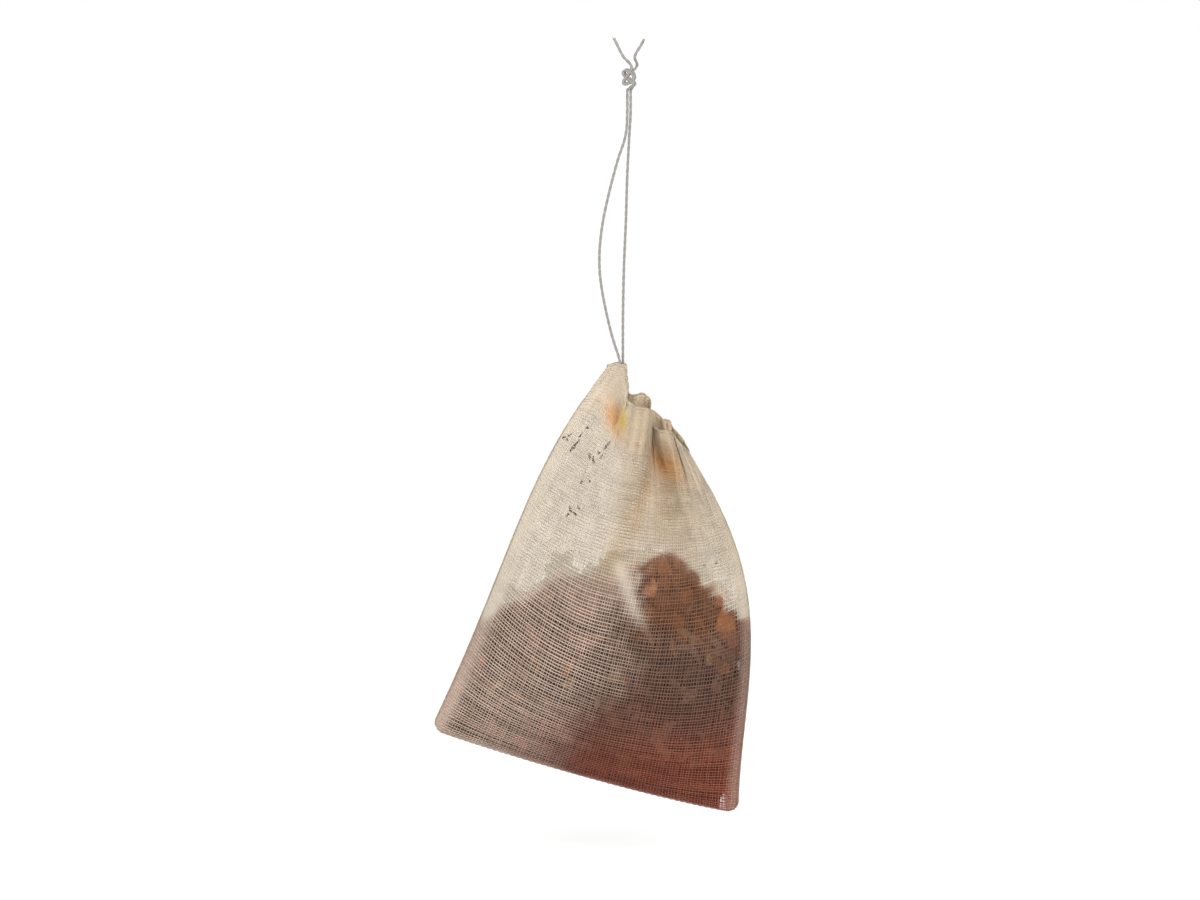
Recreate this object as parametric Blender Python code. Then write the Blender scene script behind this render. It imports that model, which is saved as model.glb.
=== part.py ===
"""Cloth tea bag on its drawstring: a hemmed muslin bag, gathered at the mouth, half full of wet leaf tea.

The bag hangs by its drawstring, as it is held over a cup. +Z is up, +X runs along the bag's width and -Y is
the front. The origin is the middle of the knot, where the fingers hold it. All sizes are in metres.
"""

import math

import bmesh
import bpy
import numpy as np

# The bag as it hangs, seen from the front: one side seam is pulled up to the apex, the other hangs free.
APEX_X = -0.0045
APEX_DROP = 0.0609
LEFT_SEAM_LENGTH = 0.0862
LEFT_SEAM_LEAN = math.radians(25.7)
LEFT_BOW = 0.0028
LEFT_BOW_SKEW = 1.9
RIGHT_BOW = 0.0081
RIGHT_BOW_SKEW = 1.30
BOTTOM_WIDTH = 0.0678
BOTTOM_TILT = math.radians(15.6)
BOTTOM_SAG = 0.0012
CORNER_RADIUS = 0.0028
MOUTH_WIDTH = 0.0250
MOUTH_TILT = math.radians(46.6)
FRONT_SWELL = 0.0115
BACK_SWELL = 0.0108

# The cloth and its hem. The hem is turned in over the drawstring.
CLOTH = 0.00035
EDGE_GAP = 0.0006
SEAM_SIDE = 0.009
SEAM_ALLOWANCE = 0.0040
HEM_DEPTH = 0.0080
HEM_ROOF = 0.0008
MOUTH_HALF_DEPTH = 0.0046
MOUTH_SLIT = 0.0014
FLAP_LEFT = 0.0050
FLAP_RIGHT = 0.0031
EXIT_WIDTH = 0.0024
STRING_DROP = 0.0030

# The drawstring, its knot and the knot's two tails.
STRING_DIAMETER = 0.0006
KNOT_DIAMETER = 0.0034
KNOT_LENGTH = 0.0046
TAIL_LENGTH = 0.0080
TAIL_SPREAD = math.radians(24.0)

# The wet tea.
TEA_DEPTH = 0.0530
TEA_SLOPE = 0.25
TEA_LUMP = 0.0016
LEAF_LENGTH = 0.0078
LEAF_WIDTH = 0.0040
LEAF_THICKNESS = 0.0008
LEAVES_A_SIDE = 4

# The least gap between two pieces.
CLEARANCE = 0.0003

# How finely the shapes are divided.
PANEL_COLUMNS = 38
TEA_COLUMNS = 26
STRING_SIDES_RESOLUTION = 2

# The hem's line across the mouth: places across the panel (0 at the apex, 1 at the free seam) and how far
# the hem stands above a straight line there. The first hump is the spike that the string pulls up.
FRONT_HEM_LINE = (
    (0.00, 0.0), (0.05, 0.0019), (0.11, 0.0028), (0.20, 0.0011), (0.33, -0.0018), (0.39, -0.0012),
    (0.47, 0.0008), (0.60, -0.0014), (0.65, -0.0014), (0.75, 0.0006), (0.87, 0.0002), (1.00, 0.0),
)
BACK_HEM_LINE = (
    (0.00, 0.0), (0.05, 0.0019), (0.11, 0.0028), (0.20, 0.0011), (0.33, -0.0014), (0.42, 0.0007),
    (0.48, 0.0009), (0.55, -0.0003), (0.66, 0.0), (0.74, 0.0008), (0.80, 0.0002), (0.88, 0.0004),
    (1.00, 0.0),
)

# The flap and the string inside the hem follow only this share of the hem line.
INNER_HEM_SHARE = 0.5

# The spike is pinched flat over this share of the mouth's width.
SPIKE_PINCH = 0.03

# Each fold: its place across the panel at the mouth, how far that place has moved by DRIFT_DEPTH below the
# mouth, its half width on the same scale, how far it stands out at the mouth (in where negative), and the
# height of its foot.
DRIFT_DEPTH = 0.3
FRONT_FOLDS = (
    (0.455, -0.085, 0.090, 0.0042, 0.42),
    (0.590, -0.150, 0.040, -0.0012, 0.40),
    (0.620, 0.030, 0.040, -0.0010, 0.52),
    (0.710, 0.080, 0.050, 0.0016, 0.50),
    (0.790, 0.060, 0.040, -0.0008, 0.56),
    (0.890, 0.010, 0.050, 0.0007, 0.56),
)
BACK_FOLDS = (
    (0.30, 0.03, 0.070, 0.0016, 0.60),
    (0.46, 0.00, 0.060, 0.0028, 0.44),
    (0.62, 0.00, 0.050, 0.0016, 0.56),
    (0.78, 0.00, 0.055, 0.0024, 0.42),
)
# Hollows and rolls that the gathers make in the front: place across, height, half width, half height, out.
FRONT_MARKS = (
    (0.290, 0.922, 0.090, 0.042, -0.0032),
    (0.650, 0.932, 0.080, 0.042, -0.0036),
    (0.160, 0.960, 0.080, 0.050, 0.0008),
    (0.810, 0.965, 0.060, 0.050, 0.0008),
)


def smoothstep(low, high, value):
    """0 below low, 1 above high, and a smooth rise between them."""
    share = np.clip((value - low) / (high - low), 0.0, 1.0)
    return share * share * (3.0 - 2.0 * share)


def corner_points():
    """The four corners of the hanging bag in the XZ plane: apex, mouth end, bottom left and bottom right."""
    apex = np.array([APEX_X, -APEX_DROP])
    mouth_end = apex + MOUTH_WIDTH * np.array([math.cos(MOUTH_TILT), -math.sin(MOUTH_TILT)])
    left = apex - LEFT_SEAM_LENGTH * np.array([math.sin(LEFT_SEAM_LEAN), math.cos(LEFT_SEAM_LEAN)])
    right = left + BOTTOM_WIDTH * np.array([math.cos(BOTTOM_TILT), -math.sin(BOTTOM_TILT)])
    return apex, mouth_end, left, right


APEX, MOUTH_END, BOTTOM_LEFT, BOTTOM_RIGHT = corner_points()
PANEL_HEIGHT = LEFT_SEAM_LENGTH
HEM_START = 1.0 - HEM_DEPTH / PANEL_HEIGHT


def seam_line(low, high, bow, skew, side, up):
    """A side seam at heights up: the straight line from low to high, bowed out by a skewed sine."""
    chord = high - low
    across = side * np.array([chord[1], -chord[0]]) / np.linalg.norm(chord)
    out = bow * np.sin(math.pi * np.clip(up, 0.0, 1.0) ** skew)
    return low + up[..., None] * chord + out[..., None] * across


def rounded_corners(across, up):
    """Moves panel positions so that the two bottom corners are round."""
    width_share = CORNER_RADIUS / BOTTOM_WIDTH
    height_share = CORNER_RADIUS / PANEL_HEIGHT
    near = np.minimum(across, 1.0 - across)
    p = np.clip(1.0 - near / width_share, 0.0, 1.0)
    q = np.clip(1.0 - up / height_share, 0.0, 1.0)
    moved_near = np.where(p * q > 0, width_share * (1.0 - p * np.sqrt(1.0 - q * q / 2.0)), near)
    moved_up = np.where(p * q > 0, height_share * (1.0 - q * np.sqrt(1.0 - p * p / 2.0)), up)
    return np.where(across > 0.5, 1.0 - moved_near, moved_near), moved_up


def bell(offset):
    """A smooth hump, 1 at 0 and nothing beyond 2.6."""
    return np.exp(-1.2 * offset * offset) * (np.abs(offset) < 2.6)


def hem_line(table, across):
    """The hem line's height from its table, with a smooth passage between each two places."""
    places, heights = np.array(table).T
    at = np.clip(np.searchsorted(places, across, side="right") - 1, 0, len(places) - 2)
    share = smoothstep(0.0, 1.0, (across - places[at]) / (places[at + 1] - places[at]))
    return heights[at] + share * (heights[at + 1] - heights[at])


def fullness(across, up, swell):
    """How far a panel stands off the bag's middle: the tea's swell below, the hem's half depth at the mouth.

    Also returns how the mouth's depth fades towards its two ends.
    """
    foot = (1.0 - (1.0 - np.clip(up / 0.3, 0.0, 1.0)) ** 2) ** 0.65
    body = swell * (1.0 - np.abs(2.0 * across - 1.0) ** 2.4) ** 0.6
    pinch = SPIKE_PINCH * smoothstep(0.88, 0.97, up)
    from_left = np.clip((across - pinch) / (0.3 - pinch), 0.0, 1.0)
    from_right = np.clip((1.0 - across) / 0.16, 0.0, 1.0)
    ends = from_left**0.8 * np.sqrt(1.0 - (1.0 - from_right) ** 2)
    mouth = (MOUTH_HALF_DEPTH - EDGE_GAP / 2.0) * ends
    drawn_in = smoothstep(0.32, 1.0, up)
    at_ends = smoothstep(0.6, 0.9, up)
    body = body * (1.0 - at_ends) + swell * ends**0.7 * at_ends
    return foot * body * (1.0 - drawn_in) + mouth * drawn_in, ends


def hem_room(across, up):
    """The least that a panel stands off the bag's middle, so that the flap and the string fit inside."""
    flap = 0.5 * (CLOTH + MOUTH_SLIT) + CLOTH + CLEARANCE
    with_string = flap + STRING_DIAMETER + CLEARANCE
    room = flap + (with_string - flap) * smoothstep(0.930, 0.950, up)
    room = room * smoothstep(HEM_START - 0.05, HEM_START - 0.01, up)
    return room * smoothstep(0.10, 0.26, across) * smoothstep(0.0, 0.10, 1.0 - across)


def panel(across, up, front, hem_share=1.0):
    """Points on the middle of the cloth: across from the left seam to the right, up from bottom to mouth.

    In the XZ plane a point lies between the two seams, on a level line that sags at the bottom and
    follows the hem line, or hem_share of it, at the mouth. Its depth is the bag's fullness, plus the folds,
    hollows and rolls of the gathers.
    """
    across, up = np.broadcast_arrays(np.asarray(across, float), np.asarray(up, float))
    place, height = rounded_corners(across, up)
    out = np.zeros(place.shape)
    spread = np.zeros(place.shape)
    for centre, drift, width, stands_out, foot in FRONT_FOLDS if front else BACK_FOLDS:
        offset = (place - centre - drift * np.clip((1.0 - up) / DRIFT_DEPTH, 0.0, 1.0)) / width
        rise = smoothstep(foot, 0.97, up)
        out += stands_out * bell(offset) * rise
        spread += 0.3 * width * offset * bell(0.8 * offset) * rise * (stands_out > 0.0)
    for centre, level, width, tall, stands_out in FRONT_MARKS if front else ():
        out += stands_out * bell((place - centre) / width) * bell((up - level) / tall)
    left = seam_line(BOTTOM_LEFT, APEX, LEFT_BOW, LEFT_BOW_SKEW, -1.0, height)
    right = seam_line(BOTTOM_RIGHT, MOUTH_END, RIGHT_BOW, RIGHT_BOW_SKEW, 1.0, height)
    level = right - left
    length = np.linalg.norm(level, axis=-1)
    down = np.stack([level[..., 1], -level[..., 0]], -1) / length[..., None]
    sag = BOTTOM_SAG * np.sin(math.pi * place**1.15) ** 0.6 * (1.0 - smoothstep(0.0, 0.7, height))
    lift = hem_line(FRONT_HEM_LINE if front else BACK_HEM_LINE, place)
    lift = lift * hem_share * smoothstep(0.72, 1.0, height)
    flat = left + (place + spread)[..., None] * level + (sag - lift)[..., None] * down

    full, ends = fullness(across, up, FRONT_SWELL if front else BACK_SWELL)
    depth = full + out * ends + EDGE_GAP / 2.0
    room = hem_room(across, up)
    depth = 0.5 * (depth + room + np.sqrt((depth - room) ** 2 + (0.3 * room) ** 2))
    side = -1.0 if front else 1.0
    return np.stack([flat[..., 0], side * depth, flat[..., 1]], -1)


def ring_positions():
    """Places across a panel for the columns of points: closest at the gathers, and one beside each seam."""
    fine = np.linspace(0.0, 1.0, 400)
    at_gathers = smoothstep(0.22, 0.34, fine) * (1.0 - smoothstep(0.90, 1.0, fine))
    weight = np.cumsum(1.0 + 1.1 * at_gathers)
    inner = np.interp(np.linspace(0.0, 1.0, PANEL_COLUMNS + 1)[1:-1], weight / weight[-1], fine)
    return np.array([0.0, SEAM_SIDE, *inner, 1.0 - SEAM_SIDE, 1.0])


def wall_rows():
    """Heights of the wall's rows, closer together at the bottom fold and at the gathers."""
    foot = np.array([0.0, 0.015, 0.04, 0.09, 0.16])
    body = np.linspace(0.25, 0.76, 7)
    gathers = np.linspace(0.80, HEM_START, 5)
    hem = np.linspace(HEM_START, 1.0, 5)[1:]
    return np.concatenate([foot, body, gathers, hem])


def ring(across, up):
    """One closed ring of wall points at height up: the front left to right, then the back right to left."""
    return np.concatenate([panel(across, up, True), panel(across[::-1], up, False)])


def flap_places(across):
    """Where the turned-in flap's columns lie across the mouth: it stops short of the wall at both ends."""
    left, right = FLAP_LEFT / MOUTH_WIDTH, FLAP_RIGHT / MOUTH_WIDTH
    from_left = np.clip(1.0 - across / (2.25 * left), 0.0, 1.0)
    from_right = np.clip(1.0 - (1.0 - across) / (2.25 * right), 0.0, 1.0)
    return across + left * from_left**2 - right * from_right**2


def flap_depth(across):
    """How far the flap's cloth lies from the bag's middle, which leaves the mouth's slit open."""
    narrow = (1.0 - np.abs(2.0 * across - 1.0) ** 8) ** 0.5
    return 0.5 * (CLOTH + CLEARANCE + (MOUTH_SLIT - CLEARANCE) * narrow)


def flap_rings(across, wall):
    """The turned-in hem: over the top of the wall, down inside it, and back against it at the raw edge.

    The flap hangs near the middle of the mouth, clear of the string's path, and meets the wall below it.
    """
    count = len(across)

    def inner(up):
        points = []
        for front in (True, False):
            line = panel(flap_places(across), up, front, INNER_HEM_SHARE)
            line[:, 1] = (-1.0 if front else 1.0) * flap_depth(across)
            points.append(line if front else line[::-1])
        return np.concatenate(points)

    rings = []
    top_wall, top_flap = wall[-1], inner(1.0)
    halves = top_wall[:count], top_wall[count:]
    along = np.concatenate([np.gradient(halves[0], axis=0), -np.gradient(halves[1], axis=0)])
    up_hill = np.stack([-along[:, 2], np.zeros(2 * count), along[:, 0]], 1)
    up_hill /= np.linalg.norm(up_hill, axis=1)[:, None]
    for turn in (0.3, 0.7):
        share = 0.5 - 0.5 * math.cos(math.pi * turn)
        lift = HEM_ROOF * math.sin(math.pi * turn)
        rings.append(top_wall + share * (top_flap - top_wall) + lift * up_hill)
    rings += [inner(1.0 - down * (1.0 - HEM_START)) for down in (0.0, 0.4, 0.8)]
    beside = ring(across, HEM_START)
    beside = beside + inward(beside) * (CLOTH + CLEARANCE)
    side = np.repeat([-1.0, 1.0], count)
    beside[:, 1] = side * np.maximum(side * beside[:, 1], 0.5 * (CLOTH + CLEARANCE))
    rings.append(beside)
    return rings


def inward(points):
    """Unit vectors square to a closed ring of points that point to its inside."""
    along = np.roll(points, -1, axis=0) - np.roll(points, 1, axis=0)
    up_hill = np.array([0.0, 0.0, 1.0])
    across = np.cross(up_hill, along)
    return across / np.linalg.norm(across, axis=1)[:, None]


def face_normals(points, faces):
    corners = points[faces]
    normal = np.cross(corners[:, 2] - corners[:, 0], corners[:, 3] - corners[:, 1])
    return normal / np.maximum(np.linalg.norm(normal, axis=1), 1e-12)[:, None]


def vertex_normals(points, faces):
    """The mean of the unit normals of the faces round each point, so that a narrow face counts in full."""
    total = np.zeros(points.shape)
    normals = face_normals(points, faces)
    for corner in range(4):
        np.add.at(total, faces[:, corner], normals)
    return total / np.maximum(np.linalg.norm(total, axis=1), 1e-12)[:, None]


def new_object(name, points, faces, material, smooth_below=70.0):
    """A mesh object from points and faces, shaded smooth except over sharp edges."""
    mesh = bpy.data.meshes.new(name)
    mesh.from_pydata([tuple(p) for p in points], [], [tuple(f) for f in faces])
    mesh.validate()
    mesh.materials.append(material)
    mesh.shade_smooth()
    mesh.set_sharp_from_angle(angle=math.radians(smooth_below))
    thing = bpy.data.objects.new(name, mesh)
    bpy.context.scene.collection.objects.link(thing)
    return thing


def new_material(name, colour, roughness, alpha=1.0):
    material = bpy.data.materials.new(name)
    material.use_nodes = True
    shader = material.node_tree.nodes["Principled BSDF"]
    shader.inputs["Base Color"].default_value = (*colour, 1.0)
    shader.inputs["Roughness"].default_value = roughness
    shader.inputs["Metallic"].default_value = 0.0
    shader.inputs["Alpha"].default_value = alpha
    material.diffuse_color = (*colour, alpha)
    return material


def seam_fins(across, rows, inner):
    """Turns the two columns beside each seam, on the wall's inner side, into the seam allowance."""
    count = len(across)
    below_hem = 1.0 - smoothstep(HEM_START - 0.12, HEM_START - 0.03, rows)
    fin_share = smoothstep(0.012, 0.08, rows) * below_hem
    for row, share in enumerate(fin_share):
        if share <= 0.0:
            continue
        points = inner[row]
        left = (0, 1, 2 * count - 2, 2 * count - 1)
        right = (count - 1, count - 2, count + 1, count)
        for tip_front, root_front, root_back, tip_back in (left, right):
            middle = 0.5 * (points[tip_front] + points[tip_back])
            toward = 0.5 * (points[root_front] + points[root_back]) - middle
            toward[1] = 0.0
            toward /= np.linalg.norm(toward)
            root = middle + toward * CLOTH
            tip = middle + toward * (CLOTH + share * SEAM_ALLOWANCE)
            for index, place, side in (
                (root_front, root, -1.0),
                (tip_front, tip, -1.0),
                (tip_back, tip, 1.0),
                (root_back, root, 1.0),
            ):
                target = np.array([place[0], side * CLOTH, place[2]])
                points[index] += min(1.0, 4.0 * share) * (target - points[index])
    return inner


def build_bag(material):
    """The bag as one sheet of cloth with its thickness: panels, bottom fold, seam allowances and hem."""
    across = ring_positions()
    rows = wall_rows()
    wall = [ring(across, up) for up in rows]
    rings = np.array(wall + flap_rings(across, wall))
    ring_count, columns = rings.shape[:2]
    half = columns // 2
    index = np.arange(ring_count * columns).reshape(ring_count, columns)

    cells = []
    roof = range(len(rows) - 1, len(rows) + 2)
    exit_columns = int(np.sum(across * MOUTH_WIDTH < EXIT_WIDTH))
    for row in range(ring_count - 1):
        for column in range(columns):
            beside = (column + 1) % columns
            near_exit = column < exit_columns or column >= columns - exit_columns - 1
            if row in roof and near_exit:
                continue
            low, high = index[row], index[row + 1]
            cells.append((low[column], low[beside], high[beside], high[column]))
    for column in range(half - 1):
        other = columns - 1 - column
        cells.append((index[0, column + 1], index[0, column], index[0, other], index[0, other - 1]))
    cells = np.array(cells)

    middle = rings.reshape(-1, 3)
    normals = vertex_normals(middle, cells)
    outer = middle + 0.5 * CLOTH * normals
    inner = (middle - 0.5 * CLOTH * normals).reshape(rings.shape)
    inner[: len(rows)] = seam_fins(across, rows, inner[: len(rows)])
    inner = inner.reshape(-1, 3)

    total = len(middle)
    faces = [tuple(cell) for cell in cells]
    faces += [tuple(total + cell[::-1]) for cell in cells]
    edges = {}
    for cell in cells:
        for start, end in zip(cell, np.roll(cell, -1)):
            edges[(start, end)] = edges.get((start, end), 0) + 1
    for start, end in edges:
        if (end, start) not in edges:
            faces.append((end, start, total + start, total + end))
    used = np.unique(np.array(faces))
    place = np.full(2 * total, -1)
    place[used] = np.arange(len(used))
    points = np.concatenate([outer, inner])[used]
    return new_object("bag_cloth", points, [tuple(place[list(face)]) for face in faces], material)


def tea_height(x):
    """Height of the heap's top over x: highest right of the bag's middle, and lower towards both seams."""
    middle = 0.5 * (BOTTOM_LEFT[0] + BOTTOM_RIGHT[0]) + 0.08 * BOTTOM_WIDTH
    share = (x - middle) / (0.5 * BOTTOM_WIDTH)
    return BOTTOM_RIGHT[1] + TEA_DEPTH * (1.0 - TEA_SLOPE * share * share)


def tea_lumps(x, y):
    """The heap's uneven top: three crossed waves of different lengths."""
    wave = np.sin(x / 0.0031 + 1.3) * np.cos(y / 0.0042)
    wave = wave + 0.6 * np.sin(x / 0.0052 + y / 0.0036 + 0.4)
    return 0.6 * TEA_LUMP * (wave + 0.5 * np.cos(x / 0.0023 - y / 0.0050))


def heap_top(x, y):
    return tea_height(x) + tea_lumps(x, y)


def tea_limits():
    """How near the two seams the tea comes, as positions across the panel: just past the seam allowances."""
    return (SEAM_ALLOWANCE + CLOTH + 4.0 * CLEARANCE) / (0.75 * BOTTOM_WIDTH)


def inner_lines(across, front):
    """For each position across, the line up the inside of the wall, a clearance away from the cloth."""
    ups = np.linspace(0.035, 0.86, 60)
    grid = panel(across[:, None], ups[None, :], front)
    along = np.gradient(grid, axis=0)
    upwards = np.gradient(grid, axis=1)
    normal = np.cross(along, upwards) * (1.0 if front else -1.0)
    normal /= np.linalg.norm(normal, axis=2)[..., None]
    return grid - normal * (0.5 * CLOTH + 1.5 * CLEARANCE)


def build_tea_mass(material):
    """The packed wet leaves: the bag's inner form up to the heap's top, closed by the lumpy top."""
    inset = tea_limits()
    across = np.linspace(inset, 1.0 - inset, TEA_COLUMNS)
    side_rows, top_rows = 9, 6
    sections = []
    lines = {front: inner_lines(across, front) for front in (True, False)}
    for column in range(TEA_COLUMNS):
        tops = {}
        for front in (True, False):
            line = lines[front][column]
            above = line[:, 2] - heap_top(line[:, 0], line[:, 1])
            last = int(np.argmax(above > 0.0)) or len(line) - 1
            share = -above[last - 1] / (above[last] - above[last - 1])
            stop = last - 1 + share
            places = np.linspace(0.0, 1.0, side_rows) ** 1.2 * stop
            steps = np.arange(len(line))
            tops[front] = np.stack([np.interp(places, steps, line[:, k]) for k in range(3)], 1)
        front_side, back_side = tops[True], tops[False]
        shares = np.linspace(0.0, 1.0, top_rows + 2)[1:-1, None]
        top = front_side[-1] + shares * (back_side[-1] - front_side[-1])
        lift = np.sin(math.pi * shares[:, 0])
        top[:, 2] += lift * (heap_top(top[:, 0], top[:, 1]) - top[:, 2])
        sections.append(np.concatenate([front_side, top, back_side[::-1]]))
    sections = np.array(sections)
    count, size = sections.shape[:2]
    index = np.arange(count * size).reshape(count, size)
    points = list(sections.reshape(-1, 3))
    faces = []
    for column in range(count - 1):
        here, beside = index[column], index[column + 1]
        for k in range(size):
            after = (k + 1) % size
            faces.append((here[k], beside[k], beside[after], here[after]))
    for column, turned in ((0, False), (count - 1, True)):
        points.append(sections[column].mean(axis=0))
        centre = len(points) - 1
        for k in range(size):
            after = (k + 1) % size
            rim = (index[column, k], index[column, after])
            faces.append((centre, *(rim[::-1] if turned else rim)))
    return new_object("tea_leaf_mass", points, faces, material, smooth_below=60.0)


def build_leaf(name, x, y, turn, material):
    """One curled leaf that lies on the heap: an almond outline whose underside follows the heap's top."""
    stations, around = 9, 8
    loops = []
    for station in range(stations):
        along = -1.0 + 2.0 * (station + 0.35) / (stations - 0.3)
        half_width = 0.5 * LEAF_WIDTH * (1.0 - along * along) ** 0.7 + 0.08 * LEAF_WIDTH
        half_thick = 0.5 * LEAF_THICKNESS * (1.0 - 0.6 * along * along)
        angle = np.linspace(0.0, 2.0 * math.pi, around, endpoint=False)
        side = half_width * np.cos(angle)
        px = x + 0.5 * LEAF_LENGTH * along * math.cos(turn) - side * math.sin(turn)
        py = y + 0.5 * LEAF_LENGTH * along * math.sin(turn) + side * math.cos(turn)
        curl = 1.6 * side * side / LEAF_WIDTH
        pz = heap_top(px, py) + 2.0 * CLEARANCE + half_thick * (1.0 + np.sin(angle)) + curl
        loops.append(np.stack([px, py, pz], 1))
    loops = np.array(loops)
    index = np.arange(stations * around).reshape(stations, around)
    faces = []
    for station in range(stations - 1):
        here, beyond = index[station], index[station + 1]
        for k in range(around):
            after = (k + 1) % around
            faces.append((here[k], here[after], beyond[after], beyond[k]))
    faces.append(tuple(index[0, ::-1]))
    faces.append(tuple(index[-1]))
    leaf = new_object(name, loops.reshape(-1, 3), faces, material, smooth_below=50.0)
    outward(leaf)
    return leaf


def outward(thing):
    """Turns every face of a closed mesh to point out."""
    mesh = bmesh.new()
    mesh.from_mesh(thing.data)
    bmesh.ops.recalc_face_normals(mesh, faces=mesh.faces)
    mesh.to_mesh(thing.data)
    mesh.free()


def build_leaves(material):
    """Loose leaves on the heap in two rows, one near each panel, each turned a little differently."""
    inset = tea_limits()
    spots = np.linspace(inset + 0.09, 1.0 - inset - 0.09, LEAVES_A_SIDE)
    number = 1
    for front in (True, False):
        for k, spot in enumerate(spots + (0.0 if front else 0.01)):
            line = panel(spot, np.linspace(0.2, 0.8, 60), front)
            at = int(np.argmax(line[:, 2] > heap_top(line[:, 0], 0.5 * line[:, 1])))
            turn = math.radians(16.0 * math.sin(2.4 * k + (0.5 if front else 2.0)))
            build_leaf(f"tea_leaf_{number:02d}", line[at, 0], 0.45 * line[at, 1], turn, material)
            number += 1


def casing_line(front, across):
    """The string's path inside the hem of one panel: near the top of the casing, just outside the flap."""
    line = panel(across, 1.0 - STRING_DROP / PANEL_HEIGHT, front, INNER_HEM_SHARE)
    depth = flap_depth(0.5) + 0.5 * (CLOTH + STRING_DIAMETER) + 1.2 * CLEARANCE
    line[:, 1] = (-1.0 if front else 1.0) * depth
    return line


def string_route():
    """The drawstring's points: down one strand, round inside the hem, and up the other strand to the knot.

    The strands' points are those of the hanging loop: one strand is nearly straight, the other bows out.
    """
    knot_foot = -0.5 * KNOT_LENGTH - CLEARANCE
    beside = 0.58 * STRING_DIAMETER
    bowed = [
        (-beside, 0.0, knot_foot),
        (-beside, 0.0, -0.0077),
        (-0.0005, 0.0, -0.0109),
        (-0.0010, 0.0, -0.0134),
        (-0.0021, -0.0002, -0.0166),
        (-0.0032, -0.0004, -0.0205),
        (-0.0044, -0.0006, -0.0253),
        (-0.0055, -0.0008, -0.0307),
        (-0.0061, -0.0009, -0.0365),
        (-0.0060, -0.0009, -0.0413),
        (-0.0050, -0.0008, -0.0477),
        (-0.0034, -0.0005, -0.0545),
        (-0.0020, -0.0004, -0.0590),
        (-0.0017, -0.0004, -0.0610),
        (-0.0016, -0.0010, -0.0637),
        (-0.0015, -0.0016, -0.0662),
    ]
    straight = [
        (beside, 0.0, knot_foot),
        (beside, 0.0, -0.0077),
        (0.0001, 0.0003, -0.0120),
        (-0.0003, 0.0005, -0.0200),
        (-0.0006, 0.0006, -0.0300),
        (-0.0010, 0.0007, -0.0400),
        (-0.0012, 0.0007, -0.0510),
        (-0.0012, 0.0004, -0.0590),
        (-0.0012, 0.0004, -0.0610),
        (-0.0013, 0.0010, -0.0637),
        (-0.0014, 0.0016, -0.0662),
    ]
    in_hem = np.linspace(0.28, 0.89, 10)
    front = casing_line(True, in_hem)
    back = casing_line(False, in_hem)
    end = casing_line(True, np.array([0.928]))[0]
    end[1] = 0.0
    return np.array([*bowed, *front, end, *back[::-1], *straight[::-1]])


def smooth_line(points, count):
    """A smooth curve through the points (a centripetal cubic), as count points evenly far apart."""
    ends = np.concatenate([[2 * points[0] - points[1]], points, [2 * points[-1] - points[-2]]])
    fine = []
    for p0, p1, p2, p3 in zip(ends, ends[1:], ends[2:], ends[3:]):
        spans = ((p0, p1), (p1, p2), (p2, p3))
        knots = np.cumsum([0.0] + [np.linalg.norm(b - a) ** 0.5 for a, b in spans])
        for at in np.linspace(knots[1], knots[2], 12, endpoint=False):
            a1 = p0 + (at - knots[0]) / (knots[1] - knots[0]) * (p1 - p0)
            a2 = p1 + (at - knots[1]) / (knots[2] - knots[1]) * (p2 - p1)
            a3 = p2 + (at - knots[2]) / (knots[3] - knots[2]) * (p3 - p2)
            b1 = a1 + (at - knots[0]) / (knots[2] - knots[0]) * (a2 - a1)
            b2 = a2 + (at - knots[1]) / (knots[3] - knots[1]) * (a3 - a2)
            fine.append(b1 + (at - knots[1]) / (knots[2] - knots[1]) * (b2 - b1))
    fine = np.array([*fine, points[-1]])
    along = np.concatenate([[0.0], np.cumsum(np.linalg.norm(np.diff(fine, axis=0), axis=1))])
    at = np.linspace(0.0, along[-1], count)
    return np.stack([np.interp(at, along, fine[:, k]) for k in range(3)], 1)


def build_string(material):
    """The drawstring as a round tube on its route."""
    points = smooth_line(string_route(), 80)
    curve = bpy.data.curves.new("drawstring", "CURVE")
    curve.dimensions = "3D"
    curve.bevel_depth = 0.5 * STRING_DIAMETER
    curve.bevel_resolution = STRING_SIDES_RESOLUTION
    curve.use_fill_caps = True
    spline = curve.splines.new("POLY")
    spline.points.add(len(points) - 1)
    for target, point in zip(spline.points, points):
        target.co = (*point, 1.0)
    curve.materials.append(material)
    thing = bpy.data.objects.new("drawstring", curve)
    bpy.context.scene.collection.objects.link(thing)
    return thing


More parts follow.
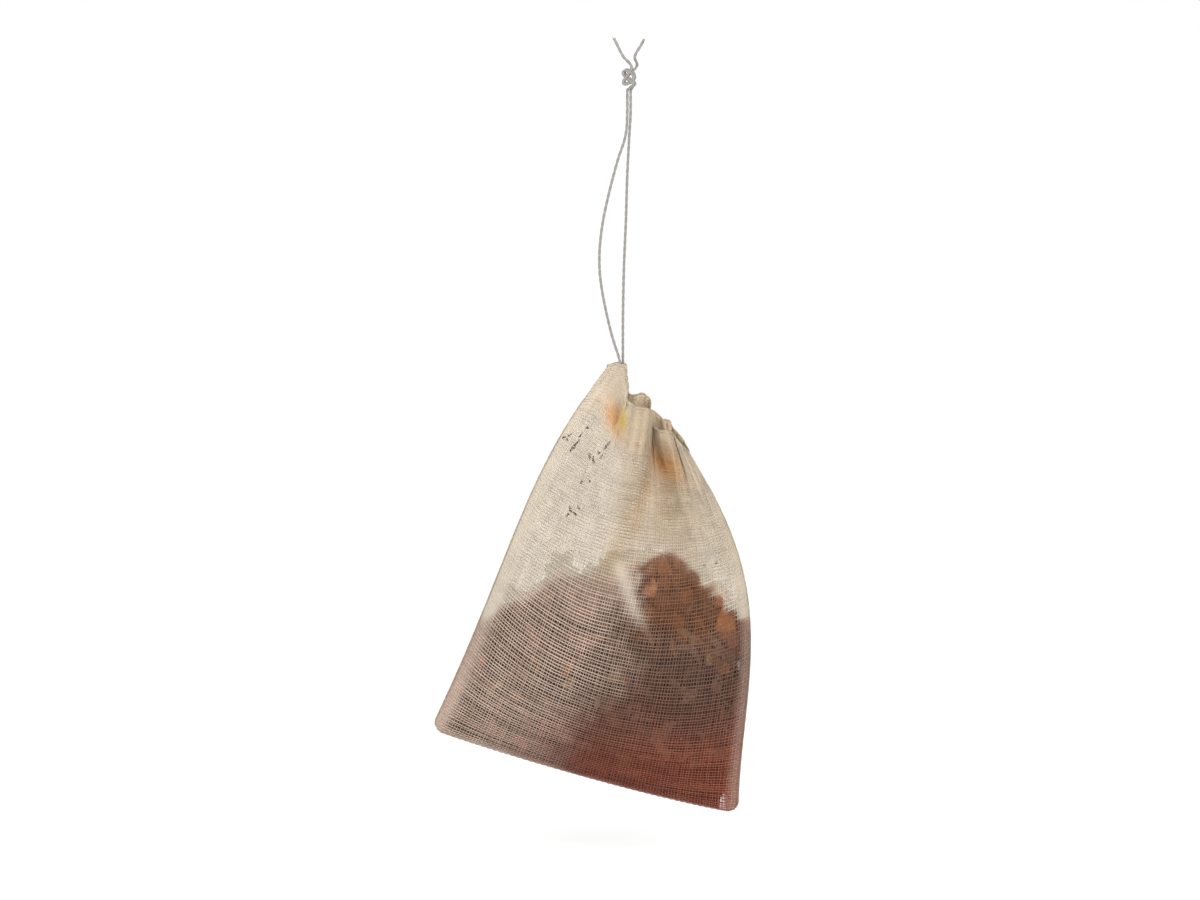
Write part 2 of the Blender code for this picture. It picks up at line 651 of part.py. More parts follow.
def build_knot(material):
    """The knot that joins the string's two ends: a barrel with slanting turns, and two short tails."""
    rows, around = 13, 24
    angle = np.linspace(0.0, 2.0 * math.pi, around, endpoint=False)
    points = []
    for row in range(1, rows):
        share = row / rows
        radius = 0.5 * KNOT_DIAMETER * math.sin(math.pi * share) ** 0.55
        turns = 1.0 + 0.16 * np.cos(3.0 * angle + 5.0 * share)
        height = np.full(around, (share - 0.5) * KNOT_LENGTH)
        x, y = radius * turns * np.cos(angle), radius * turns * np.sin(angle)
        points.append(np.stack([x, y, height], 1))
    poles = [[0.0, 0.0, -0.5 * KNOT_LENGTH], [0.0, 0.0, 0.5 * KNOT_LENGTH]]
    points = np.concatenate([*points, poles])
    index = np.arange((rows - 1) * around).reshape(rows - 1, around)
    faces = []
    for k in range(around):
        after = (k + 1) % around
        for row in range(rows - 2):
            low, high = index[row], index[row + 1]
            faces.append((low[k], low[after], high[after], high[k]))
        faces.append((len(points) - 2, index[0, after], index[0, k]))
        faces.append((len(points) - 1, index[-1, k], index[-1, after]))
    knot = new_object("string_knot", points, faces, material)
    for side in (-1.0, 1.0):
        bpy.ops.mesh.primitive_cone_add(
            vertices=10,
            radius1=0.5 * STRING_DIAMETER,
            radius2=0.4 * STRING_DIAMETER,
            depth=TAIL_LENGTH,
            location=(0.0, 0.0, 0.0),
        )
        tail = bpy.context.object
        tail.name = "tail_cutter"
        tail.rotation_euler = (0.25 * side, side * TAIL_SPREAD, 0.0)
        foot = 0.25 * KNOT_LENGTH
        tail.location = (
            side * 0.5 * TAIL_LENGTH * math.sin(TAIL_SPREAD),
            -0.12 * side * TAIL_LENGTH,
            foot + 0.5 * TAIL_LENGTH * math.cos(TAIL_SPREAD),
        )
        tail.hide_render = True
        tail.display_type = "WIRE"
        join = knot.modifiers.new("tail", "BOOLEAN")
        join.operation = "UNION"
        join.solver = "EXACT"
        join.object = tail
    return knot


def main():
    for thing in list(bpy.data.objects):
        bpy.data.objects.remove(thing)
    muslin = new_material("muslin", (0.80, 0.70, 0.55), 0.9, alpha=0.6)
    cotton = new_material("cotton_string", (0.78, 0.76, 0.71), 0.85)
    tea = new_material("wet_tea", (0.12, 0.06, 0.035), 0.55)
    leaf = new_material("tea_leaf", (0.24, 0.11, 0.05), 0.5)
    build_bag(muslin)
    build_tea_mass(tea)
    build_leaves(leaf)
    build_string(cotton)
    build_knot(cotton)


main()
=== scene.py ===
"""Looks of the cloth tea bag: wet open-weave muslin, its hem and seams, leaf tea and drawstring."""

from __future__ import annotations

import logging
import math
from dataclasses import dataclass
from enum import Enum

import bmesh
import bpy
import numpy as np
from numpy.typing import NDArray
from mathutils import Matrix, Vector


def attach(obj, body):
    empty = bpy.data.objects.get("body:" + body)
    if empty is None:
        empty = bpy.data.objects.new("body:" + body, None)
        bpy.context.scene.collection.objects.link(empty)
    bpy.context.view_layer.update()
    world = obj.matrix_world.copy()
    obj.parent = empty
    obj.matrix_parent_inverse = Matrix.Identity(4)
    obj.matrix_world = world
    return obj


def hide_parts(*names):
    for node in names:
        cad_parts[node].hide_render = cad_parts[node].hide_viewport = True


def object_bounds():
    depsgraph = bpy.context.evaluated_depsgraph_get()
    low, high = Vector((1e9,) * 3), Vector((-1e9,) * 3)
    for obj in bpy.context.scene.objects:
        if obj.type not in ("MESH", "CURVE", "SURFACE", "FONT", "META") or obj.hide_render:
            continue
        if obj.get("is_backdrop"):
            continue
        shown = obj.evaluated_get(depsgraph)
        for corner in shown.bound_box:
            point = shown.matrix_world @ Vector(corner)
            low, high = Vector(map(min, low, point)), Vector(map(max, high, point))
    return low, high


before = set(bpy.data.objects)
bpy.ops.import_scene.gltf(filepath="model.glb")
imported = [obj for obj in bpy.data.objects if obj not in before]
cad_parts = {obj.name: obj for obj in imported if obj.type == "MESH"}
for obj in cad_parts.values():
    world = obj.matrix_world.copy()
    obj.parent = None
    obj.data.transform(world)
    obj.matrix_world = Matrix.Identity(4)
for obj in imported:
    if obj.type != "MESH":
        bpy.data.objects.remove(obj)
log = logging.getLogger("tea_bag")
Array = NDArray[np.float64]
Spots = tuple[tuple[float, ...], ...]

SEED = 11
BODY = "root"
PHOTO_WIDTH = 1200


class Side(Enum):
    """The bag's two panels, as the side of the bag that each stands on."""

    FRONT = -1.0
    BACK = 1.0


class Run(Enum):
    """The two thread systems of the weave."""

    WARP = "warp"
    WEFT = "weft"


def linear(hex_colour: str) -> tuple[float, float, float]:
    """Turns an sRGB hex colour into linear light.

    Args:
        hex_colour: six hex digits, such as "d8cbb8".

    Returns:
        Red, green and blue in linear light: ((c + 0.055) / 1.055) ** 2.4, or c / 12.92 for a dark one.
    """
    parts = [int(hex_colour[at : at + 2], 16) / 255.0 for at in (0, 2, 4)]
    return tuple(c / 12.92 if c <= 0.04045 else ((c + 0.055) / 1.055) ** 2.4 for c in parts)


def smoothstep(low: float, high: float, value: Array) -> Array:
    """0 below low, 1 above high and s * s * (3 - 2 * s) between them."""
    share = np.clip((np.asarray(value, float) - low) / (high - low), 0.0, 1.0)
    return share * share * (3.0 - 2.0 * share)


def bell(offset: Array) -> Array:
    """A smooth hump exp(-1.2 * offset * offset), cut off beyond 2.6."""
    return np.exp(-1.2 * offset * offset) * (np.abs(offset) < 2.6)


def unit(vectors: Array) -> Array:
    """The vectors, each divided by its length."""
    return vectors / np.maximum(np.linalg.norm(vectors, axis=-1), 1e-12)[..., None]


def table_line(table: Spots, at: Array) -> Array:
    """A height read from a table of (place, height), with s * s * (3 - 2 * s) between each two places."""
    places, heights = np.array(table).T
    low = np.clip(np.searchsorted(places, at, side="right") - 1, 0, len(places) - 2)
    share = smoothstep(0.0, 1.0, (at - places[low]) / (places[low + 1] - places[low]))
    return heights[low] + share * (heights[low + 1] - heights[low])


def ripple(x: Array, y: Array, wavelength: float, seed: int, waves: int = 5) -> Array:
    """A smooth uneven field of about -1 to 1: the mean of crossed sine waves in seeded directions.

    Args:
        x: first coordinate, in metres.
        y: second coordinate, in metres.
        wavelength: mean wavelength, in metres.
        seed: chooses the directions and phases.
        waves: how many waves are added.

    Returns:
        The field at each point.
    """
    rng = np.random.default_rng(seed)
    total = np.zeros(np.broadcast(x, y).shape)
    for _ in range(waves):
        turn, phase, length = rng.uniform(0, math.tau), rng.uniform(0, math.tau), rng.uniform(0.7, 1.5)
        along = x * math.cos(turn) + y * math.sin(turn)
        total = total + np.sin(math.tau * along / (wavelength * length) + phase)
    return total / math.sqrt(waves)


def add_mesh(name: str, points: Array, faces: Array, material: bpy.types.Material) -> bpy.types.Object:
    """Makes a smoothly shaded mesh object at the origin.

    Args:
        name: the piece's name.
        points: vertices, in metres in the object's frame.
        faces: rows of three or four vertex numbers.
        material: its finish.

    Returns:
        The new object, which rides on the bag.
    """
    mesh = bpy.data.meshes.new(name)
    count, corners = faces.shape
    mesh.vertices.add(len(points))
    mesh.vertices.foreach_set("co", np.ascontiguousarray(points, np.float32).ravel())
    mesh.loops.add(count * corners)
    mesh.loops.foreach_set("vertex_index", np.ascontiguousarray(faces, np.int32).ravel())
    mesh.polygons.add(count)
    mesh.polygons.foreach_set("loop_start", np.arange(0, count * corners, corners, dtype=np.int32))
    mesh.polygons.foreach_set("use_smooth", np.ones(count, bool))
    mesh.update(calc_edges=True)
    mesh.validate()
    mesh.materials.append(material)
    piece = bpy.data.objects.new(name, mesh)
    bpy.context.scene.collection.objects.link(piece)
    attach(piece, BODY)
    return piece


def set_tint(piece: bpy.types.Object, tint: Array) -> None:
    """Writes one colour per vertex, in linear light, into the piece's "tint" attribute."""
    layer = piece.data.color_attributes.new("tint", "FLOAT_COLOR", "POINT")
    rgba = np.concatenate([tint, np.ones((len(tint), 1))], 1)
    layer.data.foreach_set("color", rgba.astype(np.float32).ravel())


def grid_faces(rows: int, columns: int, closed: bool = False) -> Array:
    """Quads of a grid of rows x columns points, numbered row by row, and joined round if closed."""
    index = np.arange(rows * columns).reshape(rows, columns)
    beside = np.roll(index, -1, axis=1)
    if not closed:
        index, beside = index[:, :-1], beside[:, :-1]
    return np.stack([index[:-1], beside[:-1], beside[1:], index[1:]], -1).reshape(-1, 4)


def tubes(lines: Array, wide: Array, thick: Array, sides: int) -> tuple[Array, Array]:
    """Tubes along several lines of equally many points.

    A tube's cross-section at each point is point + cos(t) * wide + sin(t) * thick.

    Args:
        lines: points, as (lines, points, 3).
        wide: half-axis vectors across the tube, as lines.
        thick: half-axis vectors through the tube, as lines.
        sides: points round the tube.

    Returns:
        Vertices and quads, with both ends closed to a point.
    """
    count, length = lines.shape[:2]
    turn = np.linspace(0.0, math.tau, sides, endpoint=False)
    cos, sin = np.cos(turn)[:, None], np.sin(turn)[:, None]
    ring = lines[:, :, None] + cos * wide[:, :, None] + sin * thick[:, :, None]
    ring[:, 0] = lines[:, 0, None]
    ring[:, -1] = lines[:, -1, None]
    one = grid_faces(length, sides, closed=True)
    faces = (one[None] + (np.arange(count) * length * sides)[:, None, None]).reshape(-1, 4)
    return ring.reshape(-1, 3), faces


def smooth_path(points: Spots, count: int) -> Array:
    """A smooth curve through given points, as count points evenly far apart.

    Between two points it is the centripetal cubic through them and their neighbours.

    Args:
        points: the route, in metres.
        count: how many points to return.

    Returns:
        The points, as (count, 3).
    """
    route = np.array(points, float)
    ends = np.concatenate([[2 * route[0] - route[1]], route, [2 * route[-1] - route[-2]]])
    fine = []
    for p0, p1, p2, p3 in zip(ends, ends[1:], ends[2:], ends[3:]):
        spans = ((p0, p1), (p1, p2), (p2, p3))
        knots = np.cumsum([0.0] + [np.linalg.norm(b - a) ** 0.5 for a, b in spans])
        at = np.linspace(knots[1], knots[2], 24, endpoint=False)[:, None]
        a1 = p0 + (at - knots[0]) / (knots[1] - knots[0]) * (p1 - p0)
        a2 = p1 + (at - knots[1]) / (knots[2] - knots[1]) * (p2 - p1)
        a3 = p2 + (at - knots[2]) / (knots[3] - knots[2]) * (p3 - p2)
        b1 = a1 + (at - knots[0]) / (knots[2] - knots[0]) * (a2 - a1)
        b2 = a2 + (at - knots[1]) / (knots[3] - knots[1]) * (a3 - a2)
        fine.append(b1 + (at - knots[1]) / (knots[2] - knots[1]) * (b2 - b1))
    line = np.concatenate([*fine, route[-1:]])
    along = np.concatenate([[0.0], np.cumsum(np.linalg.norm(np.diff(line, axis=0), axis=1))])
    at = np.linspace(0.0, along[-1], count)
    return np.stack([np.interp(at, along, line[:, k]) for k in range(3)], 1)


def path_frame(line: Array) -> tuple[Array, Array]:
    """Two unit vectors square to a line at each point, which turn as little as the line allows."""
    along = unit(np.gradient(line, axis=0))
    side = np.empty_like(line)
    side[0] = unit(np.cross(along[0], (0.0, 1.0, 0.1)))
    for k in range(1, len(line)):
        side[k] = unit(side[k - 1] - along[k] * (side[k - 1] @ along[k]))
    return side, np.cross(along, side)


def line_length(line: Array) -> float:
    """Length of a line of points."""
    return float(np.linalg.norm(np.diff(line, axis=0), axis=1).sum())


def merged(made: list[tuple[Array, Array]]) -> tuple[Array, Array]:
    """Several meshes as one: their vertices and their faces, renumbered."""
    starts = np.cumsum([0] + [len(points) for points, _ in made[:-1]])
    points = np.concatenate([points for points, _ in made])
    faces = np.concatenate([faces + start for (_, faces), start in zip(made, starts)])
    return points, faces


@dataclass
class BagShape:
    """The hanging bag's cloth as a surface, with places across from the left seam and up from the bottom."""

    apex: tuple[float, float] = (-0.0045, -0.0609)
    seam_length: float = 0.0862
    seam_lean: float = math.radians(25.7)
    left_bow: float = 0.0028
    left_bow_skew: float = 1.9
    right_bow: float = 0.0081
    right_bow_skew: float = 1.30
    bottom_width: float = 0.0678
    bottom_tilt: float = math.radians(15.6)
    bottom_sag: float = 0.0012
    corner_radius: float = 0.0028
    mouth_width: float = 0.0250
    mouth_tilt: float = math.radians(46.6)
    front_swell: float = 0.0115
    back_swell: float = 0.0108
    mouth_half_depth: float = 0.0046
    edge_gap: float = 0.00036
    seam_allowance: float = 0.0025
    hem_depth: float = 0.0080
    hem_turn: float = 0.0012
    hem_inside: float = 0.0006
    hem_rise: float = 0.0007
    spike_pinch: float = 0.03
    drift_depth: float = 0.3
    fold_spread: float = 0.3
    crease_height: float = 0.00028
    crease_length: float = 0.013
    fine_crease_height: float = 0.00011
    fine_crease_length: float = 0.0045
    allowance_gap: float = 0.00014
    pleat_height: float = 0.00028
    pleat_count: float = 13.0
    weft_sag: float = 0.29
    weft_tilt: float = 0.020
    weft_rise: float = 0.115
    doubled_strip: tuple[float, float, float, float, float] = (0.408, 0.95, 0.044, 0.415, 0.600)
    front_hem: Spots = (
        (0.00, 0.0), (0.05, 0.0019), (0.11, 0.0028), (0.20, 0.0011), (0.33, -0.0016), (0.39, -0.0012),
        (0.47, 0.0008), (0.60, -0.0014), (0.65, -0.0014), (0.75, 0.0006), (0.87, 0.0002), (1.00, 0.0),
    )
    back_hem: Spots = (
        (0.00, 0.0), (0.05, 0.0019), (0.11, 0.0028), (0.20, 0.0011), (0.33, -0.0014), (0.42, 0.0007),
        (0.48, 0.0009), (0.55, -0.0003), (0.66, 0.0), (0.74, 0.0008), (0.80, 0.0002), (0.88, 0.0004),
        (1.00, 0.0),
    )
    front_folds: Spots = (
        (0.455, -0.085, 0.090, 0.0040, 0.42),
        (0.590, -0.150, 0.045, -0.0010, 0.40),
        (0.620, 0.030, 0.040, -0.0010, 0.52),
        (0.710, 0.080, 0.050, 0.0016, 0.50),
        (0.790, 0.060, 0.050, -0.0003, 0.56),
        (0.890, 0.010, 0.050, 0.0007, 0.56),
    )
    back_folds: Spots = (
        (0.30, 0.03, 0.070, 0.0016, 0.60),
        (0.46, 0.00, 0.060, 0.0028, 0.44),
        (0.62, 0.00, 0.050, 0.0016, 0.56),
        (0.78, 0.00, 0.055, 0.0024, 0.42),
    )
    front_marks: Spots = (
        (0.250, 0.925, 0.090, 0.040, -0.0018),
        (0.650, 0.900, 0.090, 0.050, -0.0008),
        (0.250, 0.975, 0.100, 0.022, 0.0010),
        (0.650, 0.985, 0.080, 0.024, 0.0012),
        (0.160, 0.960, 0.080, 0.050, 0.0008),
        (0.810, 0.965, 0.060, 0.050, 0.0004),
    )

    def __post_init__(self) -> None:
        """Works out the four corners in the XZ plane."""
        tilt = np.array([math.cos(self.mouth_tilt), -math.sin(self.mouth_tilt)])
        self.top_left = np.array(self.apex)
        self.top_right = self.top_left + self.mouth_width * tilt
        lean = np.array([math.sin(self.seam_lean), math.cos(self.seam_lean)])
        self.low_left = self.top_left - self.seam_length * lean
        level = np.array([math.cos(self.bottom_tilt), -math.sin(self.bottom_tilt)])
        self.low_right = self.low_left + self.bottom_width * level

    @property
    def hem_start(self) -> float:
        """Height of the hem's stitched line, as a share of the panel."""
        return 1.0 - self.hem_depth / self.seam_length

    def seam(self, low: Array, high: Array, bow: float, skew: float, side: float, up: Array) -> Array:
        """A side seam: low + up * chord + side * bow * sin(pi * up ** skew) square to the chord."""
        chord = high - low
        across = side * np.array([chord[1], -chord[0]]) / np.linalg.norm(chord)
        out = bow * np.sin(math.pi * np.clip(up, 0.0, 1.0) ** skew)
        return low + up[..., None] * chord + out[..., None] * across

    def rounded(self, across: Array, up: Array) -> tuple[Array, Array]:
        """Moves panel positions so that the two bottom corners are round."""
        width, height = self.corner_radius / self.bottom_width, self.corner_radius / self.seam_length
        near = np.minimum(across, 1.0 - across)
        p, q = np.clip(1.0 - near / width, 0.0, 1.0), np.clip(1.0 - up / height, 0.0, 1.0)
        moved_near = np.where(p * q > 0, width * (1.0 - p * np.sqrt(1.0 - q * q / 2.0)), near)
        moved_up = np.where(p * q > 0, height * (1.0 - q * np.sqrt(1.0 - p * p / 2.0)), up)
        return np.where(across > 0.5, 1.0 - moved_near, moved_near), moved_up

    def fullness(self, across: Array, up: Array, swell: float) -> tuple[Array, Array]:
        """How far a panel stands off the bag's middle, and how the mouth's depth fades at its two ends."""
        foot = (1.0 - (1.0 - np.clip(up / 0.3, 0.0, 1.0)) ** 2) ** 0.65
        body = swell * (1.0 - np.abs(2.0 * across - 1.0) ** 2.4) ** 0.6
        pinch = self.spike_pinch * smoothstep(0.88, 0.97, up)
        from_left = np.clip((across - pinch) / (0.3 - pinch), 0.0, 1.0)
        from_right = np.clip((1.0 - across) / 0.16, 0.0, 1.0)
        ends = from_left**0.8 * np.sqrt(1.0 - (1.0 - from_right) ** 2)
        mouth = (self.mouth_half_depth - self.edge_gap / 2.0) * ends
        drawn_in, at_ends = smoothstep(0.32, 1.0, up), smoothstep(0.6, 0.9, up)
        body = body * (1.0 - at_ends) + swell * ends**0.7 * at_ends
        return foot * body * (1.0 - drawn_in) + mouth * drawn_in, ends

    def pleats(self, across: Array, up: Array, side: Side) -> Array:
        """The hem's small gathers: uneven waves round the mouth that fade out below the hem."""
        phase = 2.0 if side is Side.FRONT else 5.1
        wobble = 0.35 * np.sin(9.0 * across + phase) + 0.25 * np.sin(23.0 * across + 2.0 * phase)
        uneven = across + 0.035 * np.sin(11.0 * across + phase)
        wave = np.sin(math.tau * self.pleat_count * uneven + wobble)
        second = np.sin(math.tau * 1.73 * self.pleat_count * across + 3.0 * phase)
        amount = self.pleat_height * smoothstep(0.70, 0.95, up) * smoothstep(0.2, 0.34, across)
        return amount * (wave + 0.45 * second) * (1.0 - smoothstep(0.93, 1.0, across))

    def creases(self, across: Array, up: Array, side: Side) -> Array:
        """Soft unevenness of wet cloth over the leaves, and finer creases, away from the edges."""
        x, y = across * self.bottom_width, up * self.seam_length
        seed = 3 if side is Side.FRONT else 4
        body = smoothstep(0.02, 0.12, up) * (1.0 - smoothstep(0.80, 0.95, up))
        inside = smoothstep(0.0, 0.08, across) * smoothstep(0.0, 0.08, 1.0 - across)
        coarse = self.crease_height * ripple(x, y, self.crease_length, seed)
        fine = self.fine_crease_height * ripple(x, y, self.fine_crease_length, seed + 10)
        return (coarse + fine) * body * inside

    def point(
        self, across: Array, up: Array, side: Side, below: Array | float = 0.0, hem_share: float = 1.0
    ) -> Array:
        """Points on the middle of the cloth.

        In the XZ plane a point is left seam + (across + spread) * level line + (sag - lift) * down. Its
        depth is the fullness plus folds, hollows, pleats and creases, which fade at the mouth's ends.

        Args:
            across: place between the side seams, 0 to 1.
            up: height, 0 at the bottom fold to 1 at the mouth.
            side: the panel.
            below: how far inside the cloth the point lies, in metres.
            hem_share: how much of the hem's line the points follow at the mouth.

        Returns:
            Points with three coordinates, in metres.
        """
        across, up = np.broadcast_arrays(np.asarray(across, float), np.asarray(up, float))
        front = side is Side.FRONT
        place, height = self.rounded(across, up)
        out, spread = np.zeros(place.shape), np.zeros(place.shape)
        for centre, drift, width, stands_out, foot in self.front_folds if front else self.back_folds:
            offset = (place - centre - drift * np.clip((1.0 - up) / self.drift_depth, 0.0, 1.0)) / width
            rise = smoothstep(foot, 0.97, up)
            out += stands_out * bell(offset) * rise
            spread += self.fold_spread * width * offset * bell(0.8 * offset) * rise * (stands_out > 0.0)
        for centre, level, width, tall, stands_out in self.front_marks if front else ():
            out += stands_out * bell((place - centre) / width) * bell((up - level) / tall)
        left = self.seam(self.low_left, self.top_left, self.left_bow, self.left_bow_skew, -1.0, height)
        right = self.seam(self.low_right, self.top_right, self.right_bow, self.right_bow_skew, 1.0, height)
        level_line = right - left
        down = unit(np.stack([level_line[..., 1], -level_line[..., 0]], -1))
        sag = self.bottom_sag * np.sin(math.pi * place**1.15) ** 0.6 * (1.0 - smoothstep(0.0, 0.7, height))
        lift = table_line(self.front_hem if front else self.back_hem, place)
        lift = lift * hem_share * smoothstep(0.72, 1.0, height)
        flat = left + (place + spread)[..., None] * level_line + (sag - lift)[..., None] * down
        full, ends = self.fullness(across, up, self.front_swell if front else self.back_swell)
        out = out + self.pleats(place, up, side) + self.creases(place, up, side)
        depth = np.maximum(full + out * ends - below, 0.0) + self.edge_gap / 2.0
        return np.stack([flat[..., 0], side.value * depth, flat[..., 1]], -1)

    def weft_shift(self, across: Array, up: Array) -> Array:
        """How far a weft thread lies below its even place: the tea drags it down, the free side lifts it.

        Args:
            across: place between the side seams.
            up: the thread's even place above the bottom fold.

        Returns:
            (sag * a * (1 - a) - tilt * a * a) * sin(pi * up ** 0.75) ** 1.2 - rise * a * a * a hump that is
            full from 0.6 to 0.75, with a as across.
        """
        at, height = np.clip(across, 0.0, 1.0), np.clip(up, 0.0, 1.0)
        sag = self.weft_sag * at * (1.0 - at) - self.weft_tilt * at * at
        hump = smoothstep(0.30, 0.60, height) * smoothstep(1.0, 0.75, height)
        return sag * np.sin(math.pi * height**0.75) ** 1.2 - self.weft_rise * at * at * hump

    def doubled(self, across: Array, up: Array, side: Side) -> Array:
        """How much of the front's doubled strip of cloth is at each place, 0 to 1.

        It is a fold beside the rusty leaves. Its middle is foot + lean * (high - up), from low to high.
        """
        foot, lean, half_width, low, high = self.doubled_strip
        ends = smoothstep(low, low + 0.06, up) * smoothstep(high, high - 0.05, up)
        return bell((across - foot - lean * (high - up)) / half_width) * ends * (side is Side.FRONT)

    def place_of(self, x: Array, z: Array, side: Side) -> Array:
        """Places across and heights, as (points, 2), of the panel's points nearest to x and z."""
        across, up = np.meshgrid(np.linspace(0.01, 0.99, 240), np.linspace(0.01, 0.99, 300), indexing="ij")
        grid = self.point(across, up, side)
        gap = (grid[..., 0][None] - x[:, None, None]) ** 2 + (grid[..., 2][None] - z[:, None, None]) ** 2
        at = gap.reshape(len(x), -1).argmin(axis=1)
        return np.stack([across.ravel()[at], up.ravel()[at]], 1)

    def allowance(self, inward: Array, up: Array, side: Side, right: bool) -> Array:
        """Points on a seam allowance: inside the bag, between the panels, wavy towards its raw edge.

        Args:
            inward: distance from the seam, as a share of the bag's width.
            up: height from the bottom fold.
            side: the panel whose edge this is.
            right: the free side seam, not the one that is pulled up.

        Returns:
            middle + (wave * inward + side * gap) * half the room between the panels.
        """
        narrow = 1.0 - 0.65 * smoothstep(0.80, 0.98, up)
        place = 1.0 - inward * narrow if right else inward * narrow
        front, back = self.point(place, up, Side.FRONT), self.point(place, up, Side.BACK)
        reach = inward * self.bottom_width / self.seam_allowance
        wave = 0.5 * np.sin(19.0 * up + (1.0 if right else 2.5)) + 0.2 * np.sin(47.0 * up)
        middle = 0.5 * (front + back)
        middle[..., 1] += 0.35 * wave * reach * (back - front)[..., 1] + side.value * self.allowance_gap
        return middle

    def cloth(self, across: Array, up: Array, side: Side) -> Array:
        """Points on the whole cut of cloth.

        Across from 0 to 1 is the panel and beyond that its allowances. Up from 0 to 1 is the panel, and
        beyond that the hem: over the mouth by half a turn, mouth + (inside - mouth) * (1 - cos(pi * t)) / 2
        with a rise of sin(pi * t), and down inside the panel.

        Args:
            across: place between the side seams.
            up: height from the bottom fold.
            side: the panel.

        Returns:
            Points with three coordinates, in metres.
        """
        across, up = np.broadcast_arrays(np.asarray(across, float), np.asarray(up, float))
        over = np.clip(up - 1.0, 0.0, 1.0) * self.seam_length
        turn = np.clip(over / self.hem_turn, 0.0, 1.0)
        points = self.sheet(across, np.minimum(up, 1.0), side)
        inside = self.sheet(across, 1.0 - np.maximum(over - self.hem_turn, 0.0) / self.seam_length, side)
        inside[..., 1] = np.sign(inside[..., 1]) * np.maximum(np.abs(inside[..., 1]) - self.hem_inside, 0.0)
        hem = points + (0.5 - 0.5 * np.cos(math.pi * turn))[..., None] * (inside - points)
        hem[..., 2] += self.hem_rise * np.sin(math.pi * turn)
        return np.where((up > 1.0)[..., None], hem, points)

    def sheet(self, across: Array, up: Array, side: Side) -> Array:
        """Points on a panel, and on its seam allowances where across is below 0 or above 1."""
        points = self.point(np.clip(across, 0.0, 1.0), up, side)
        left = self.allowance(np.clip(-across, 0.0, 1.0), up, side, False)
        right = self.allowance(np.clip(across - 1.0, 0.0, 1.0), up, side, True)
        points = np.where((across < 0.0)[..., None], left, points)
        return np.where((across > 1.0)[..., None], right, points)

    def steps(self, across: Array, up: Array, side: Side) -> tuple[Array, Array, Array, Array]:
        """Points of the cloth, and the unit vectors across, up and outwards there, by steps of 0.1 mm."""
        da, du = 0.0001 / self.bottom_width, 0.0001 / self.seam_length
        here = self.cloth(across, up, side)
        low_u, high_u = np.maximum(up - du, 0.0), up + du
        along = unit(self.cloth(across + da, up, side) - self.cloth(across - da, up, side))
        upward = unit(self.cloth(across, high_u, side) - self.cloth(across, low_u, side))
        out = unit(np.cross(along, upward)) * (1.0 if side is Side.FRONT else -1.0)
        return here, along, upward, out


